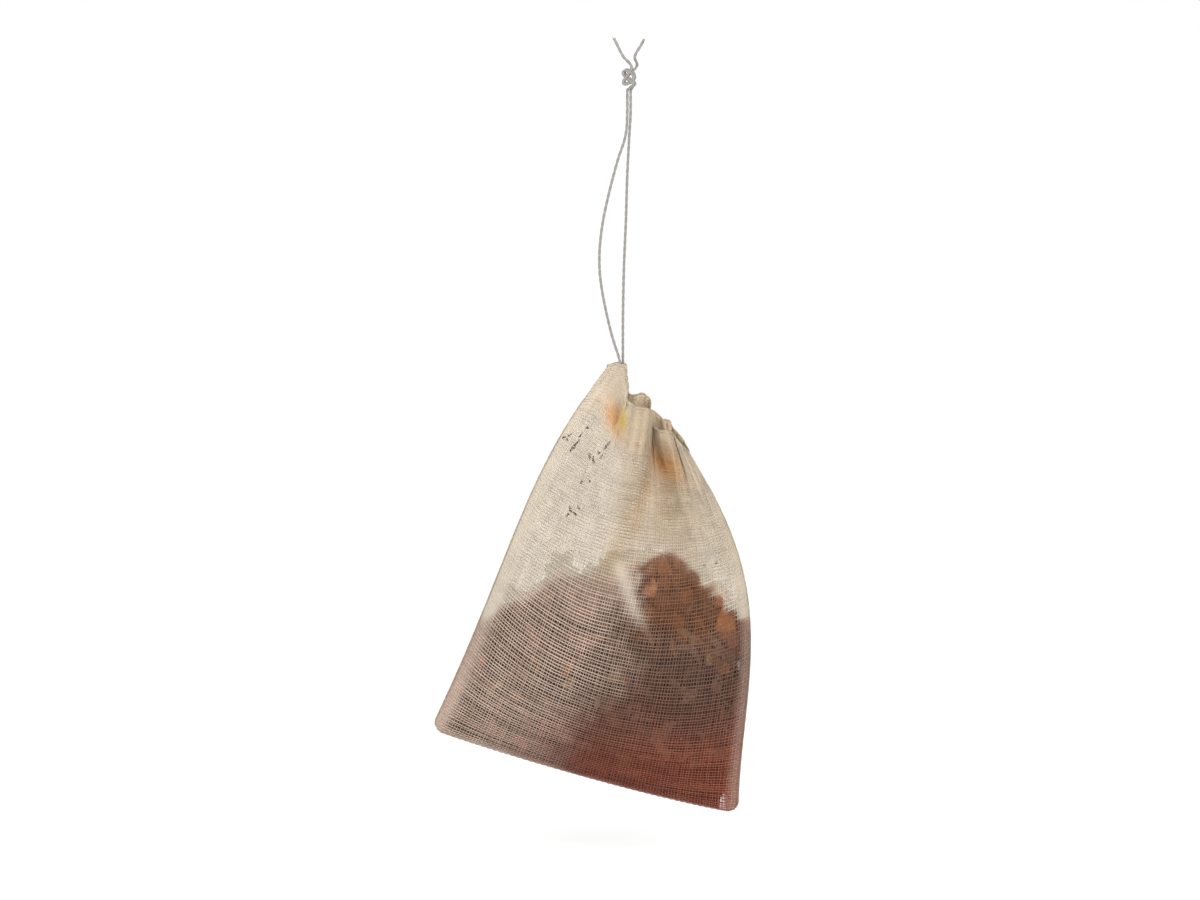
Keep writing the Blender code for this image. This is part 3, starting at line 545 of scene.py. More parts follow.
@dataclass(frozen=True)
class Stain:
    """Tea's colour on the cloth from the bottom up, and painted light and shade at the mouth's folds and
    hem.
    """

    shape: BagShape
    dry: str = "d6cbba"
    tan: str = "c0aa8c"
    damp: str = "d2bcac"
    # on the back's inner hem this wash is mostly painted light that brightens the shaded ruffle
    hem: str = "e6d4b8"
    seam: str = "c2a798"
    rusty: str = "84522f"
    wet: str = "846556"
    red: str = "a35b46"
    # painted shade on the pleats' shaded flanks
    fold: str = "c2a377"
    # painted shade, and light through the layered cloth, in the mouth's hollows
    hollow_shade_amber: str = "e0ac6c"
    brown: str = "c48b48"
    hollow_glow_yellow: str = "e6cb6c"
    contact_depth: float = 0.0025
    contact_line: Spots = (
        (-0.044, -0.1190), (-0.0321, -0.1135), (-0.0227, -0.1085), (-0.0132, -0.1030), (-0.0038, -0.1010),
        (0.0010, -0.0997), (0.0095, -0.0997), (0.0128, -0.1030), (0.0151, -0.1050), (0.0185, -0.1070),
        (0.0214, -0.1108), (0.0300, -0.1210),
    )
    wet_edge: tuple[float, float] = (-0.0005, -0.113)
    drawn_up_back: float = 0.35
    tan_share: float = 0.7
    spike_share: float = 0.2
    rusty_share: float = 0.8
    red_share: float = 0.9
    hem_share_front: float = 0.15
    # painted light on the back's shaded inner hem
    back_hem_lightening: float = 0.8
    seam_share: float = 0.55
    doubled_share: float = 0.85

    def contact(self, x: Array, z: Array) -> Array:
        """How fully the tea touches the cloth: 0 above the contact line, 1 from contact_depth below it."""
        return smoothstep(0.0, self.contact_depth, table_line(self.contact_line, x) - z)

    def tint(self, points: Array, across: Array, up: Array, side: Side) -> Array:
        """Colour of the cloth at each point, in linear light.

        Each wash is a smooth step in place or height, and is laid over the one before it by its amount.

        Args:
            points: places in the row frame, in metres.
            across: place between the side seams.
            up: height from the bottom fold.
            side: the panel.

        Returns:
            Red, green and blue for each point.
        """
        x, z = points[..., 0], points[..., 2]
        uneven = 0.0014 * ripple(x, z, 0.016, 21) + 0.0008 * ripple(x, z, 0.005, 22)
        front = side is Side.FRONT
        gathers = (1.0 if front else self.drawn_up_back) * (1.0 - 0.6 * smoothstep(0.72, 0.88, across))
        drawn_up = smoothstep(0.50, 0.78, up) * smoothstep(0.30, 0.46, across + 8.0 * uneven) * gathers
        spike = self.spike_share * smoothstep(0.78, 0.99, up) * smoothstep(0.45, 0.15, across)
        low = z + uneven
        below = self.contact(x, low)
        edge_x, edge_z = self.wet_edge
        soaked = below * smoothstep(-0.007, 0.009, x - edge_x - 0.5 * (z - edge_z) + 2.0 * uneven)
        rusty = smoothstep(0.0005, 0.0030, x + uneven) * smoothstep(-0.121, -0.113, low) * below
        red = smoothstep(-0.126, -0.148, low) * smoothstep(-0.034, -0.004, x + uneven)
        hem_share = self.hem_share_front if front else self.back_hem_lightening
        colour = np.broadcast_to(np.array(linear(self.dry)), (*across.shape, 3)).copy()
        washes = (
            (self.tan_share * drawn_up * (1.0 - below), self.tan),
            (spike, self.tan),
            (below, self.damp),
            (soaked * (1.0 - 0.5 * rusty), self.wet),
            (self.rusty_share * rusty, self.rusty),
            (self.red_share * red, self.red),
            # on the back, painted light that brightens the shaded inner hem
            (hem_share * smoothstep(0.88, 0.96, up), self.hem),
            (self.seam_share * smoothstep(0.945, 0.985, across) * smoothstep(0.62, 0.45, up), self.seam),
            (self.doubled_share * self.shape.doubled(across, up, side), self.dry),
        )
        for amount, shade in washes:
            colour += np.clip(amount, 0.0, 1.0)[..., None] * (np.array(linear(shade)) - colour)
        # painted shade down the pleats' shaded flanks
        for centre, lean, width, foot, head, strength, shade in self.painted_fold_shade() if front else ():
            ends = smoothstep(foot, foot + 0.12, up) * smoothstep(head, head - 0.08, up)
            amount = strength * bell((across - centre + lean * (1.0 - up)) / width) * ends
            colour += amount[..., None] * (np.array(linear(shade)) - colour)
        # painted shade and glow in the mouth's hollows
        for centre, level, width, tall, strength, shade in self.painted_hollow_shade() if front else ():
            amount = strength * bell((across - centre) / width) * bell((up - level) / tall)
            colour += np.clip(amount, 0.0, 1.0)[..., None] * (np.array(linear(shade)) - colour)
        return colour

    def painted_fold_shade(self) -> tuple[tuple[float, float, float, float, float, float, str], ...]:
        """Painted shade down the pleats' flanks: place, lean, half width, foot, head, strength and colour.
        """
        return (
            (0.600, 0.480, 0.045, 0.450, 0.920, 0.50, self.fold),
            (0.700, 0.250, 0.050, 0.640, 0.930, 0.40, self.fold),
        )

    def painted_hollow_shade(self) -> tuple[tuple[float, float, float, float, float, str], ...]:
        """Painted shade and glow in the hollows: place, height, half width, half height, strength and
        colour.
        """
        return (
            (0.235, 0.910, 0.105, 0.032, 0.90, self.hollow_shade_amber),
            (0.315, 0.948, 0.050, 0.032, 0.85, self.hollow_glow_yellow),
            (0.655, 0.900, 0.120, 0.055, 0.85, self.brown),
        )


class Nodes:
    """The node tree of a material or of the surroundings, with one way to add a node."""

    def __init__(self, owner: bpy.types.Material | bpy.types.World) -> None:
        """Starts an empty node tree for a new material or world."""
        self.owner = owner
        owner.use_nodes = True
        self.tree = owner.node_tree
        self.tree.nodes.clear()

    def add(self, kind: str, settings: dict | None = None, **links: object) -> bpy.types.Node:
        """Adds a node.

        Args:
            kind: its type, without "ShaderNode".
            settings: attributes of the node.
            **links: for each input, by its name with underscores, or n and its number, a socket or a value.

        Returns:
            The new node.
        """
        node = self.tree.nodes.new("ShaderNode" + kind)
        for key, value in (settings or {}).items():
            setattr(node, key, value)
        for key, value in links.items():
            socket = node.inputs[int(key[1:])] if key[1:].isdigit() else node.inputs[key.replace("_", " ")]
            if isinstance(value, bpy.types.NodeSocket):
                self.tree.links.new(value, socket)
            else:
                socket.default_value = value
        return node

    def finish(self, shader: bpy.types.NodeSocket) -> bpy.types.Material:
        """Connects the shader to the material's output."""
        self.add("OutputMaterial", Surface=shader)
        return self.owner

    def background_seen(self) -> bpy.types.NodeSocket:
        """1 for a ray that sees the background: from the camera, mirrored or through clear pieces."""
        rays, most = self.add("LightPath").outputs, {"operation": "MAXIMUM"}
        straight = self.add("Math", most, n0=rays["Is Camera Ray"], n1=rays["Is Glossy Ray"])
        return self.add("Math", most, n0=straight.outputs[0], n1=rays["Is Transmission Ray"]).outputs[0]


@dataclass(frozen=True)
class MuslinHaze:
    """Fuzz and water between the threads of wet muslin: it veils the gaps, more where it is drawn up."""

    name: str = "muslin_haze"
    # Real fuzz is about 0.02 mm fine: it is drawn as coarse as it needs to show.
    fuzz_mm: float = 0.5
    roughness: float = 0.75
    veil_low: float = 0.01
    veil_high: float = 0.06
    glow: float = 0.4

    def build(self) -> bpy.types.Material:
        """Makes the material.

        Returns:
            A thin see-through cloth whose colour is the stain's tint.
        """
        nodes = Nodes(bpy.data.materials.new(self.name))
        place = nodes.add("TexCoord")
        tint = nodes.add("Attribute", {"attribute_name": "tint"})
        veil = nodes.add("Attribute", {"attribute_name": "veil"})
        fuzz = nodes.add("TexNoise", Vector=place.outputs["Object"], Scale=1000.0 / self.fuzz_mm, Detail=2.0)
        spread = nodes.add(
            "MapRange", Value=fuzz.outputs["Fac"], n1=0.3, n2=0.7, n3=self.veil_low, n4=self.veil_high
        )
        alpha = nodes.add("Math", {"operation": "ADD"}, n0=spread.outputs["Result"], n1=veil.outputs["Fac"])
        front = nodes.add(
            "BsdfPrincipled", Base_Color=tint.outputs["Color"], Roughness=self.roughness,
            Specular_IOR_Level=0.2,
        )
        through = nodes.add("BsdfTranslucent", Color=tint.outputs["Color"])
        cloth = nodes.add("MixShader", n0=self.glow, n1=front.outputs[0], n2=through.outputs[0])
        gaps = nodes.add("BsdfTransparent")
        shader = nodes.add("MixShader", n0=alpha.outputs[0], n1=gaps.outputs[0], n2=cloth.outputs[0])
        return nodes.finish(shader.outputs[0])


@dataclass(frozen=True)
class CottonThread:
    """Soft-spun wet cotton yarn: matt, a little translucent, and its shade changes along its length."""

    name: str = "muslin_thread"
    slub_mm: float = 4.0
    roughness: float = 0.7
    glow: float = 0.45

    def build(self) -> bpy.types.Material:
        """Makes the material.

        Returns:
            A yarn whose colour is the stain's tint with slubs.
        """
        nodes = Nodes(bpy.data.materials.new(self.name))
        place = nodes.add("TexCoord")
        tint = nodes.add("Attribute", {"attribute_name": "tint"})
        slub = nodes.add("TexNoise", Vector=place.outputs["Object"], Scale=1000.0 / self.slub_mm, Detail=3.0)
        shade = nodes.add("MapRange", Value=slub.outputs["Fac"], n1=0.3, n2=0.7, n3=0.86, n4=1.08)
        colour = nodes.add(
            "Mix", {"data_type": "RGBA", "blend_type": "MULTIPLY"}, n0=1.0,
            n6=tint.outputs["Color"], n7=shade.outputs["Result"],
        )
        front = nodes.add(
            "BsdfPrincipled", Base_Color=colour.outputs[2], Roughness=self.roughness, Specular_IOR_Level=0.2
        )
        through = nodes.add("BsdfTranslucent", Color=colour.outputs[2])
        mixed = nodes.add("MixShader", n0=self.glow, n1=front.outputs[0], n2=through.outputs[0])
        return nodes.finish(mixed.outputs[0])


@dataclass(frozen=True)
class TwistedCotton:
    """White two-ply cotton twine: matt, with painted shade in the grooves between its fibres."""

    name: str = "cotton_string"
    light: str = "8f8b86"
    # painted shade for the grooves between the fibres
    dark: str = "6a6662"
    # Real fibres lie about 0.02 mm apart: they are drawn as coarse as they need to show.
    fibre_mm: float = 0.25
    roughness: float = 0.8

    def build(self) -> bpy.types.Material:
        """Makes the material.

        Returns:
            A twine with fine fibres.
        """
        nodes = Nodes(bpy.data.materials.new(self.name))
        place = nodes.add("TexCoord")
        fibre = nodes.add(
            "TexNoise", Vector=place.outputs["Object"], Scale=1000.0 / self.fibre_mm, Detail=2.0
        )
        # painted shade: darker where the fibre noise, which is also the bump's height, is low
        groove_shading = nodes.add(
            "Mix", {"data_type": "RGBA"}, n0=fibre.outputs["Fac"], n6=(*linear(self.dark), 1.0),
            n7=(*linear(self.light), 1.0),
        )
        bump = nodes.add("Bump", Height=fibre.outputs["Fac"], Strength=0.4, Distance=0.00005)
        shader = nodes.add(
            "BsdfPrincipled", Base_Color=groove_shading.outputs[2], Roughness=self.roughness, Normal=bump.outputs[0]
        )
        return nodes.finish(shader.outputs[0])


@dataclass(frozen=True)
class WetLeaf:
    """Steeped tea leaf: dark and wet, with a soft shine, each leaf of its own brown, and paler veins."""

    name: str = "wet_tea_leaf"
    vein_mm: float = 0.7
    roughness: float = 0.5

    def build(self) -> bpy.types.Material:
        """Makes the material.

        Returns:
            A leaf whose colour is its tint with blotches.
        """
        nodes = Nodes(bpy.data.materials.new(self.name))
        place = nodes.add("TexCoord")
        tint = nodes.add("Attribute", {"attribute_name": "tint"})
        blotch = nodes.add(
            "TexNoise", Vector=place.outputs["Object"], Scale=1000.0 / self.vein_mm, Detail=4.0
        )
        shade = nodes.add("MapRange", Value=blotch.outputs["Fac"], n1=0.3, n2=0.7, n3=0.6, n4=1.3)
        colour = nodes.add(
            "Mix", {"data_type": "RGBA", "blend_type": "MULTIPLY"}, n0=1.0,
            n6=tint.outputs["Color"], n7=shade.outputs["Result"],
        )
        bump = nodes.add("Bump", Height=blotch.outputs["Fac"], Strength=0.5, Distance=0.0002)
        shader = nodes.add(
            "BsdfPrincipled", Base_Color=colour.outputs[2], Roughness=self.roughness,
            Specular_IOR_Level=0.25, Normal=bump.outputs[0],
        )
        return nodes.finish(shader.outputs[0])


@dataclass(frozen=True)
class PaleFloor:
    """Plain white studio floor: it shows the shadow, and white to the camera beyond it."""

    name: str = "pale_floor"
    colour: str = "f4f4f3"
    white_share: float = 0.6
    shadow_reach: float = 0.9

    def build(self) -> bpy.types.Material:
        """Makes the material.

        Returns:
            A matt white floor.
        """
        nodes = Nodes(bpy.data.materials.new(self.name))
        floor = nodes.add("BsdfDiffuse", Color=(*linear(self.colour), 1.0))
        white = nodes.add("Emission", Color=(1.0, 1.0, 1.0, 1.0), Strength=1.0)
        place = nodes.add("TexCoord")
        away = nodes.add("VectorMath", {"operation": "LENGTH"}, n0=place.outputs["Object"])
        fade = nodes.add(
            "MapRange", {"interpolation_type": "SMOOTHSTEP"}, Value=away.outputs["Value"],
            n1=0.2 * self.shadow_reach, n2=self.shadow_reach, n3=self.white_share, n4=1.0,
        )
        share = nodes.add(
            "Math", {"operation": "MULTIPLY"}, n0=nodes.background_seen(), n1=fade.outputs["Result"]
        )
        mixed = nodes.add("MixShader", n0=share.outputs[0], n1=floor.outputs[0], n2=white.outputs[0])
        return nodes.finish(mixed.outputs[0])


@dataclass
class Studio:
    """Camera, soft lamps, white surroundings and a pale floor under the hanging bag."""

    metres_per_pixel: float = 0.000315
    closer: float = 1.5
    distance: float = 1.05
    look_down: float = math.radians(10.0)
    look_at: tuple[float, float, float] = (-0.006, 0.0, -0.0785)
    floor_drop: float = 0.012
    floor_size: float = 3.0
    key_place: tuple[float, float, float] = (-0.55, -0.75, 0.55)
    key_size: float = 0.6
    key_power: float = 9.0
    fill_place: tuple[float, float, float] = (0.68, -0.75, 0.62)
    fill_size: float = 0.7
    fill_power: float = 10.5
    surroundings: float = 0.93

    def camera(self) -> None:
        """Makes the camera at the photograph's viewing angle, a little closer than the photograph."""
        data = bpy.data.cameras.new("camera")
        data.sensor_width = 36.0
        shown = PHOTO_WIDTH * self.metres_per_pixel / self.closer
        data.lens = data.sensor_width * self.distance / shown
        camera = bpy.data.objects.new("camera", data)
        back = np.array([0.0, -math.cos(self.look_down), math.sin(self.look_down)])
        camera.location = np.array(self.look_at) + self.distance * back
        camera.rotation_euler = (math.pi / 2 - self.look_down, 0.0, 0.0)
        bpy.context.scene.collection.objects.link(camera)
        bpy.context.scene.camera = camera

    def lamp(self, name: str, place: tuple[float, float, float], size: float, power: float) -> None:
        """Adds a square soft lamp at place, turned towards the bag."""
        data = bpy.data.lights.new(name, "AREA")
        data.size, data.energy = size, power
        lamp = bpy.data.objects.new(name, data)
        lamp.location = place
        away = np.array(place) - np.array(self.look_at)
        flat = math.hypot(away[0], away[1])
        lamp.rotation_euler = (math.atan2(flat, away[2]), 0.0, math.atan2(away[1], away[0]) + math.pi / 2)
        bpy.context.scene.collection.objects.link(lamp)

    def light(self) -> None:
        """Adds the key lamp front left above, a fill at the right, and white surroundings."""
        self.lamp("key_lamp", self.key_place, self.key_size, self.key_power)
        self.lamp("fill_lamp", self.fill_place, self.fill_size, self.fill_power)
        world = bpy.data.worlds.new("surroundings")
        bpy.context.scene.world = world
        nodes = Nodes(world)
        white = (1.0, 1.0, 1.0, 1.0)
        lighting = nodes.add("Background", Color=white, Strength=self.surroundings)
        backdrop = nodes.add("Background", Color=white)
        mixed = nodes.add(
            "MixShader", n0=nodes.background_seen(), n1=lighting.outputs[0], n2=backdrop.outputs[0]
        )
        nodes.add("OutputWorld", Surface=mixed.outputs[0])

    def floor(self, low: float, material: bpy.types.Material) -> None:
        """Lays the floor under the bag's lowest point."""
        half = 0.5 * self.floor_size
        corners = [(-half, -half), (half, -half), (half, half), (-half, half)]
        mesh = bpy.data.meshes.new("floor")
        mesh.from_pydata([(x, y, low - self.floor_drop) for x, y in corners], [], [(0, 1, 2, 3)])
        mesh.materials.append(material)
        floor = bpy.data.objects.new("floor", mesh)
        bpy.context.scene.collection.objects.link(floor)
        floor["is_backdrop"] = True


@dataclass
class Drawstring:
    """The cotton string: two plies twisted together, round inside the hem and up to the knot."""

    shape: BagShape
    diameter: float = 0.0006
    lay_length: float = 0.0030
    string_drop: float = 0.0030
    casing_depth: float = 0.00171
    ply_offset: float = 0.18
    ply_half_width: float = 0.32
    ply_half_thickness: float = 0.38
    points_per_turn: int = 10
    sides: int = 8
    bowed: Spots = (
        (-0.000348, 0.0, -0.0026), (-0.000348, 0.0, -0.0077), (-0.0005, 0.0, -0.0109),
        (-0.0010, 0.0, -0.0134), (-0.0021, -0.0002, -0.0166), (-0.0032, -0.0004, -0.0205),
        (-0.0044, -0.0006, -0.0253), (-0.0055, -0.0008, -0.0307), (-0.0061, -0.0009, -0.0365),
        (-0.0060, -0.0009, -0.0413), (-0.0050, -0.0008, -0.0477), (-0.0034, -0.0005, -0.0545),
        (-0.0020, -0.0004, -0.0590), (-0.0017, -0.0004, -0.0610), (-0.0016, -0.0010, -0.0637),
        (-0.0015, -0.0016, -0.0662),
    )
    straight: Spots = (
        (0.000348, 0.0, -0.0026), (0.000348, 0.0, -0.0077), (0.0001, 0.0003, -0.0120),
        (-0.0003, 0.0005, -0.0200), (-0.0006, 0.0006, -0.0300), (-0.0010, 0.0007, -0.0400),
        (-0.0012, 0.0007, -0.0510), (-0.0012, 0.0004, -0.0590), (-0.0012, 0.0004, -0.0610),
        (-0.0013, 0.0010, -0.0637), (-0.0014, 0.0016, -0.0662),
    )
    hem_from: float = 0.28
    hem_to: float = 0.89
    hem_points: int = 10
    turn_at: float = 0.928
    inner_hem_share: float = 0.5

    def casing(self, across: Array, side: Side) -> Array:
        """The string's path inside one panel's hem: the cloth's own line there, at the casing's depth."""
        up = 1.0 - self.string_drop / self.shape.seam_length
        line = self.shape.point(across, up, side, hem_share=self.inner_hem_share)
        line[:, 1] = side.value * self.casing_depth
        return line

    def route(self) -> Array:
        """The string's whole line: down one strand, round inside the hem, and up the other."""
        across = np.linspace(self.hem_from, self.hem_to, self.hem_points)
        turn = self.casing(np.array([self.turn_at]), Side.FRONT)
        turn[:, 1] = 0.0
        inside = [*self.casing(across, Side.FRONT), *turn, *self.casing(across, Side.BACK)[::-1]]
        points = [*self.bowed, *inside, *self.straight[::-1]]
        first = smooth_path(points, 400)
        return smooth_path(points, int(line_length(first) / self.lay_length * self.points_per_turn))

    def twisted(self, line: Array, diameter: float, phase: float = 0.0) -> tuple[Array, Array]:
        """Two plies wound round a line.

        Each ply's middle is line + r * (cos(a) * side + sin(a) * across), with a growing by one turn each
        lay_length. A ply is a little wider than half the string, so that the two sink into each other.

        Args:
            line: the string's middle, evenly spaced.
            diameter: the string's outer diameter.
            phase: where round the line the first ply starts.

        Returns:
            Vertices and quads.
        """
        side, across = path_frame(line)
        run = np.linspace(0.0, line_length(line), len(line))
        angle = math.tau * run / self.lay_length + phase
        angle = np.stack([angle, angle + math.pi])
        spin = np.cos(angle)[..., None] * side + np.sin(angle)[..., None] * across
        plies = line + self.ply_offset * diameter * spin
        round_it = np.cross(np.broadcast_to(unit(np.gradient(line, axis=0)), spin.shape), spin)
        wide, thick = self.ply_half_width * diameter, self.ply_half_thickness * diameter
        return tubes(plies, wide * spin, thick * round_it, self.sides)

    def build(self, material: bpy.types.Material) -> bpy.types.Object:
        """Args:
            material: the twine's finish.

        Returns:
            The string's object.
        """
        line = self.route()
        points, faces = self.twisted(line, self.diameter)
        string = add_mesh("cotton_drawstring", points, faces, material)
        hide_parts("drawstring")
        return string


@dataclass
class StringKnot:
    """The overhand knot of the string's two ends, with two short frayed tails."""

    string: Drawstring
    half_width: float = 0.0011
    half_depth: float = 0.0008
    half_length: float = 0.0013
    beside: tuple[float, float, float] = (0.00016, 0.00025, 0.00010)
    foot: tuple[float, float, float] = (0.000348, 0.0, -0.0027)
    tail_length: float = 0.0066
    frays: int = 9
    fray_length: float = 0.0011
    fray_radius: float = 0.00005

    def turns(self, count: int) -> Array:
        """The knot's middle line, the open overhand knot (t**4 - 4 t**2 + 2, t**5 - 10 t, t**3 - 3 t)."""
        t = np.linspace(-2.0, 2.0, count)
        x, y, z = t**4 - 4.0 * t**2 + 2.0, t**5 - 10.0 * t, t**3 - 3.0 * t
        spans, sizes = (2.0, 8.5, 2.0), (self.half_width, self.half_depth, self.half_length)
        return np.stack([axis / span * size for axis, span, size in zip((x, y, z), spans, sizes)], 1)

    def build(self, material: bpy.types.Material) -> bpy.types.Object:
        """Makes the knot from the doubled string.

        Args:
            material: the twine's finish.

        Returns:
            The knot's object.
        """
        made: list[tuple[Array, Array]] = []
        middle = self.turns(60)
        high_z = middle[-1, 2]
        for sign in (-1.0, 1.0):
            beside = sign * np.array(self.beside)
            foot = np.array(self.foot) * (sign, 1.0, 1.0)
            tail = [
                middle[-1] + beside + np.array([sign * 0.0004, 0.0, 0.0008]),
                (sign * 0.0012, sign * -0.0004, high_z + 0.45 * self.tail_length),
                (sign * 0.0026, sign * -0.0010, high_z + 0.85 * self.tail_length),
                (sign * 0.0031, sign * -0.0013, high_z + self.tail_length),
            ]
            points = [foot, 0.5 * (foot + middle[0] + beside), *(middle[::4] + beside), *tail]
            line = smooth_path(points, 260)
            made.append(self.string.twisted(line, self.string.diameter, phase=1.0 + sign))
            made.append(self.fray(line[-1], unit(line[-1] - line[-12]), seed=7 if sign > 0 else 8))
        knot = add_mesh("cotton_knot", *merged(made), material)
        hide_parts("string_knot")
        return knot

    def fray(self, tip: Array, along: Array, seed: int) -> tuple[Array, Array]:
        """Loose fibres at a tail's end: tip + s * (along + spread), each bending down a little."""
        rng = np.random.default_rng(seed)
        s = np.linspace(0.0, 1.0, 6)[None, :, None]
        lean = along + 0.45 * rng.normal(size=(self.frays, 1, 3))
        length = self.fray_length * rng.uniform(0.5, 1.0, (self.frays, 1, 1))
        lines = tip - 0.0004 * along + s * length * lean - s * s * np.array([0.0, 0.0, 0.0002])
        thin = self.fray_radius * (1.0 - 0.7 * s)
        side = unit(np.cross(lean, (0.3, 0.9, 0.2)))
        return tubes(lines, thin * side, thin * unit(np.cross(lean, side)), 4)


@dataclass
class MuslinBag:
    """The bag's cloth: a veil of fuzz and water, the weave's own threads, and the seams' stitches."""

    shape: BagShape
    stain: Stain
    # 15 threads a centimetre, as open muslin has, and yarn of about 0.1 to 0.25 mm, flattened by the wet.
    thread_pitch: float = 0.00066
    warp_width: float = 0.00011
    warp_width_free: float = 0.00019
    weft_width: float = 0.00024
    thread_thickness: float = 0.00013
    over_under: float = 0.00007
    veil_columns: int = 150
    veil_rows: int = 170
    hem_reach: float = 0.0074
    stitch_pitch: float = 0.0030
    seam_thread_width: float = 0.00030
    seam_thread_sway: float = 0.00016
    stitch_length: float = 0.0019
    stitch_width: float = 0.00020
    stitch_hump: float = 0.00016
    stitch_foot: float = 0.00005
    hem_veil: float = 0.36
    drawn_veil: float = 0.46
    edge_veil: float = 0.50
    clear_share: float = 0.9
    flat_width: float = 0.073
    flat_length: float = 0.188

    def veil(self, material: bpy.types.Material) -> bpy.types.Object:
        """Makes the continuous sheet as one grid, like the flat cut of cloth.

        Its rows run from the front's turned-in edge over the mouth, down the front, round the bottom fold
        and up the back to its turned-in edge. Its columns run from one raw side edge to the other.

        Args:
            material: the haze between the threads.

        Returns:
            The sheet's object.
        """
        shape = self.shape
        inner = np.linspace(0.0, 1.0, self.veil_columns)
        reach = shape.seam_allowance / shape.bottom_width
        edge = np.linspace(0.0, reach, 7)[1:]
        across = np.concatenate([-edge[::-1], inner, 1.0 + edge])
        body = np.linspace(0.0, 1.0, self.veil_rows)
        hem = np.linspace(1.0, 1.0 + self.hem_reach / shape.seam_length, 12)[1:]
        rows = np.concatenate([body, hem])
        sheets, tints, veils = [], [], []
        for side in Side:
            spot, level = np.broadcast_arrays(across[None, :], rows[:, None])
            order = slice(None, None, -1) if side is Side.FRONT else slice(None)
            sheet = shape.cloth(spot, level, side)
            sheets.append(sheet[order])
            tints.append(self.stain.tint(sheet, np.clip(spot, 0, 1), level, side)[order])
            veils.append(self.density(sheet, spot, level, side)[order])
        points = np.concatenate(sheets)
        faces = grid_faces(*points.shape[:2])[:, ::-1]
        veil = add_mesh("muslin_veil", points.reshape(-1, 3), faces, material)
        set_tint(veil, np.concatenate(tints).reshape(-1, 3))
        extra = veil.data.attributes.new("veil", "FLOAT", "POINT")
        extra.data.foreach_set("value", np.concatenate(veils).astype(np.float32).ravel())
        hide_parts("bag_cloth")
        return veil

    def density(self, points: Array, across: Array, up: Array, side: Side) -> Array:
        """How much denser the veil is than plain cloth: at the hem, folds and seams, and where drawn up.

        Args:
            points: places in the row frame, in metres.
            across: place between the side seams.
            up: height from the bottom fold.
            side: the panel.

        Returns:
            The share to add, which falls where wet leaf shows through the free side's cloth.
        """
        hem = self.hem_veil * smoothstep(self.shape.hem_start - 0.06, self.shape.hem_start + 0.01, up)
        touched = self.stain.contact(points[..., 0], points[..., 2])
        clear = self.clear_share * touched * smoothstep(0.42, 0.55, across)
        drawn = self.drawn_veil * np.maximum(smoothstep(0.38, 0.60, up), 1.0 - touched) * (1.0 - clear)
        fold = self.edge_veil * smoothstep(0.030, 0.004, up)
        seam = self.edge_veil * smoothstep(0.070, 0.020, np.abs(0.5 - np.abs(across - 0.5)))
        return hem + drawn + np.maximum(fold, seam) + self.edge_veil * self.shape.doubled(across, up, side)

    def thread_places(self, length: float, seed: int, low: float, high: float) -> Array:
        """Places of threads from low to high, as shares of length, a pitch apart and a little uneven."""
        rng = np.random.default_rng(seed)
        count = int(length * (high - low) / self.thread_pitch)
        even = np.linspace(low, high, count)
        drift = 0.2 * np.sin(np.linspace(0, 21.0, count) + seed) + 0.16 * rng.uniform(-1, 1, count)
        return np.clip(even + drift * self.thread_pitch / length, low, high)

    def threads(self, side: Side, run: Run, material: bpy.types.Material) -> bpy.types.Object:
        """Makes one panel's warp or weft.

        A thread's middle at the crossing (i, j) is the cloth's surface, moved out by over_under where
        i + j is even and in where it is odd, and the other way for the other run.

        Args:
            side: the panel.
            run: warp, which runs up, or weft, which runs across.
            material: the yarn.

        Returns:
            The threads as one object.
        """
        shape = self.shape
        seed = 5 if side is Side.FRONT else 6
        reach = shape.seam_allowance / shape.bottom_width
        across = self.thread_places(shape.bottom_width, seed, -reach, 1.0 + reach)
        top = 1.0 + self.hem_reach / shape.seam_length
        up = self.thread_places(shape.seam_length, seed + 2, 0.0005, top)
        spot_a, even_u = np.broadcast_arrays(across[None, :], up[:, None])
        spot_u = np.maximum(even_u - shape.weft_shift(spot_a, even_u), 0.0)
        here, along, upward, out = shape.steps(spot_a, spot_u, side)
        sign = np.where((np.arange(len(up))[:, None] + np.arange(len(across))[None, :]) % 2 == 0, 1.0, -1.0)
        rng = np.random.default_rng(seed + (20 if run is Run.WARP else 30))
        if run is Run.WARP:
            lines = (here + (self.over_under * sign)[..., None] * out).transpose(1, 0, 2)
            wide, thick = along.transpose(1, 0, 2), out.transpose(1, 0, 2)
            tint = self.stain.tint(here, spot_a, spot_u, side).transpose(1, 0, 2)
            share = smoothstep(0.40, 0.60, spot_a).T
            width = self.warp_width + (self.warp_width_free - self.warp_width) * share
        else:
            lines = here - (self.over_under * sign)[..., None] * out
            wide, thick = upward, out
            tint = self.stain.tint(here, spot_a, spot_u, side)
            width = np.full(spot_a.shape, self.weft_width)
        count, length = lines.shape[:2]
        slub = 1.0 + 0.16 * rng.uniform(-1, 1, (count, 1)) + 0.14 * np.sin(
            np.arange(length) * rng.uniform(0.05, 0.3, (count, 1)) + rng.uniform(0, math.tau, (count, 1))
        )
        half_width, half_thickness = 0.5 * width * slub, 0.5 * self.thread_thickness * slub
        points, faces = tubes(lines, wide * half_width[..., None], thick * half_thickness[..., None], 4)
        name = f"{run.value}_threads_{side.name.lower()}"
        threads = add_mesh(name, points, faces, material)
        shade = tint * (1.0 + 0.07 * rng.uniform(-1, 1, (count, 1, 1)))
        set_tint(threads, np.repeat(shade.reshape(-1, 3), 4, axis=0))
        return threads

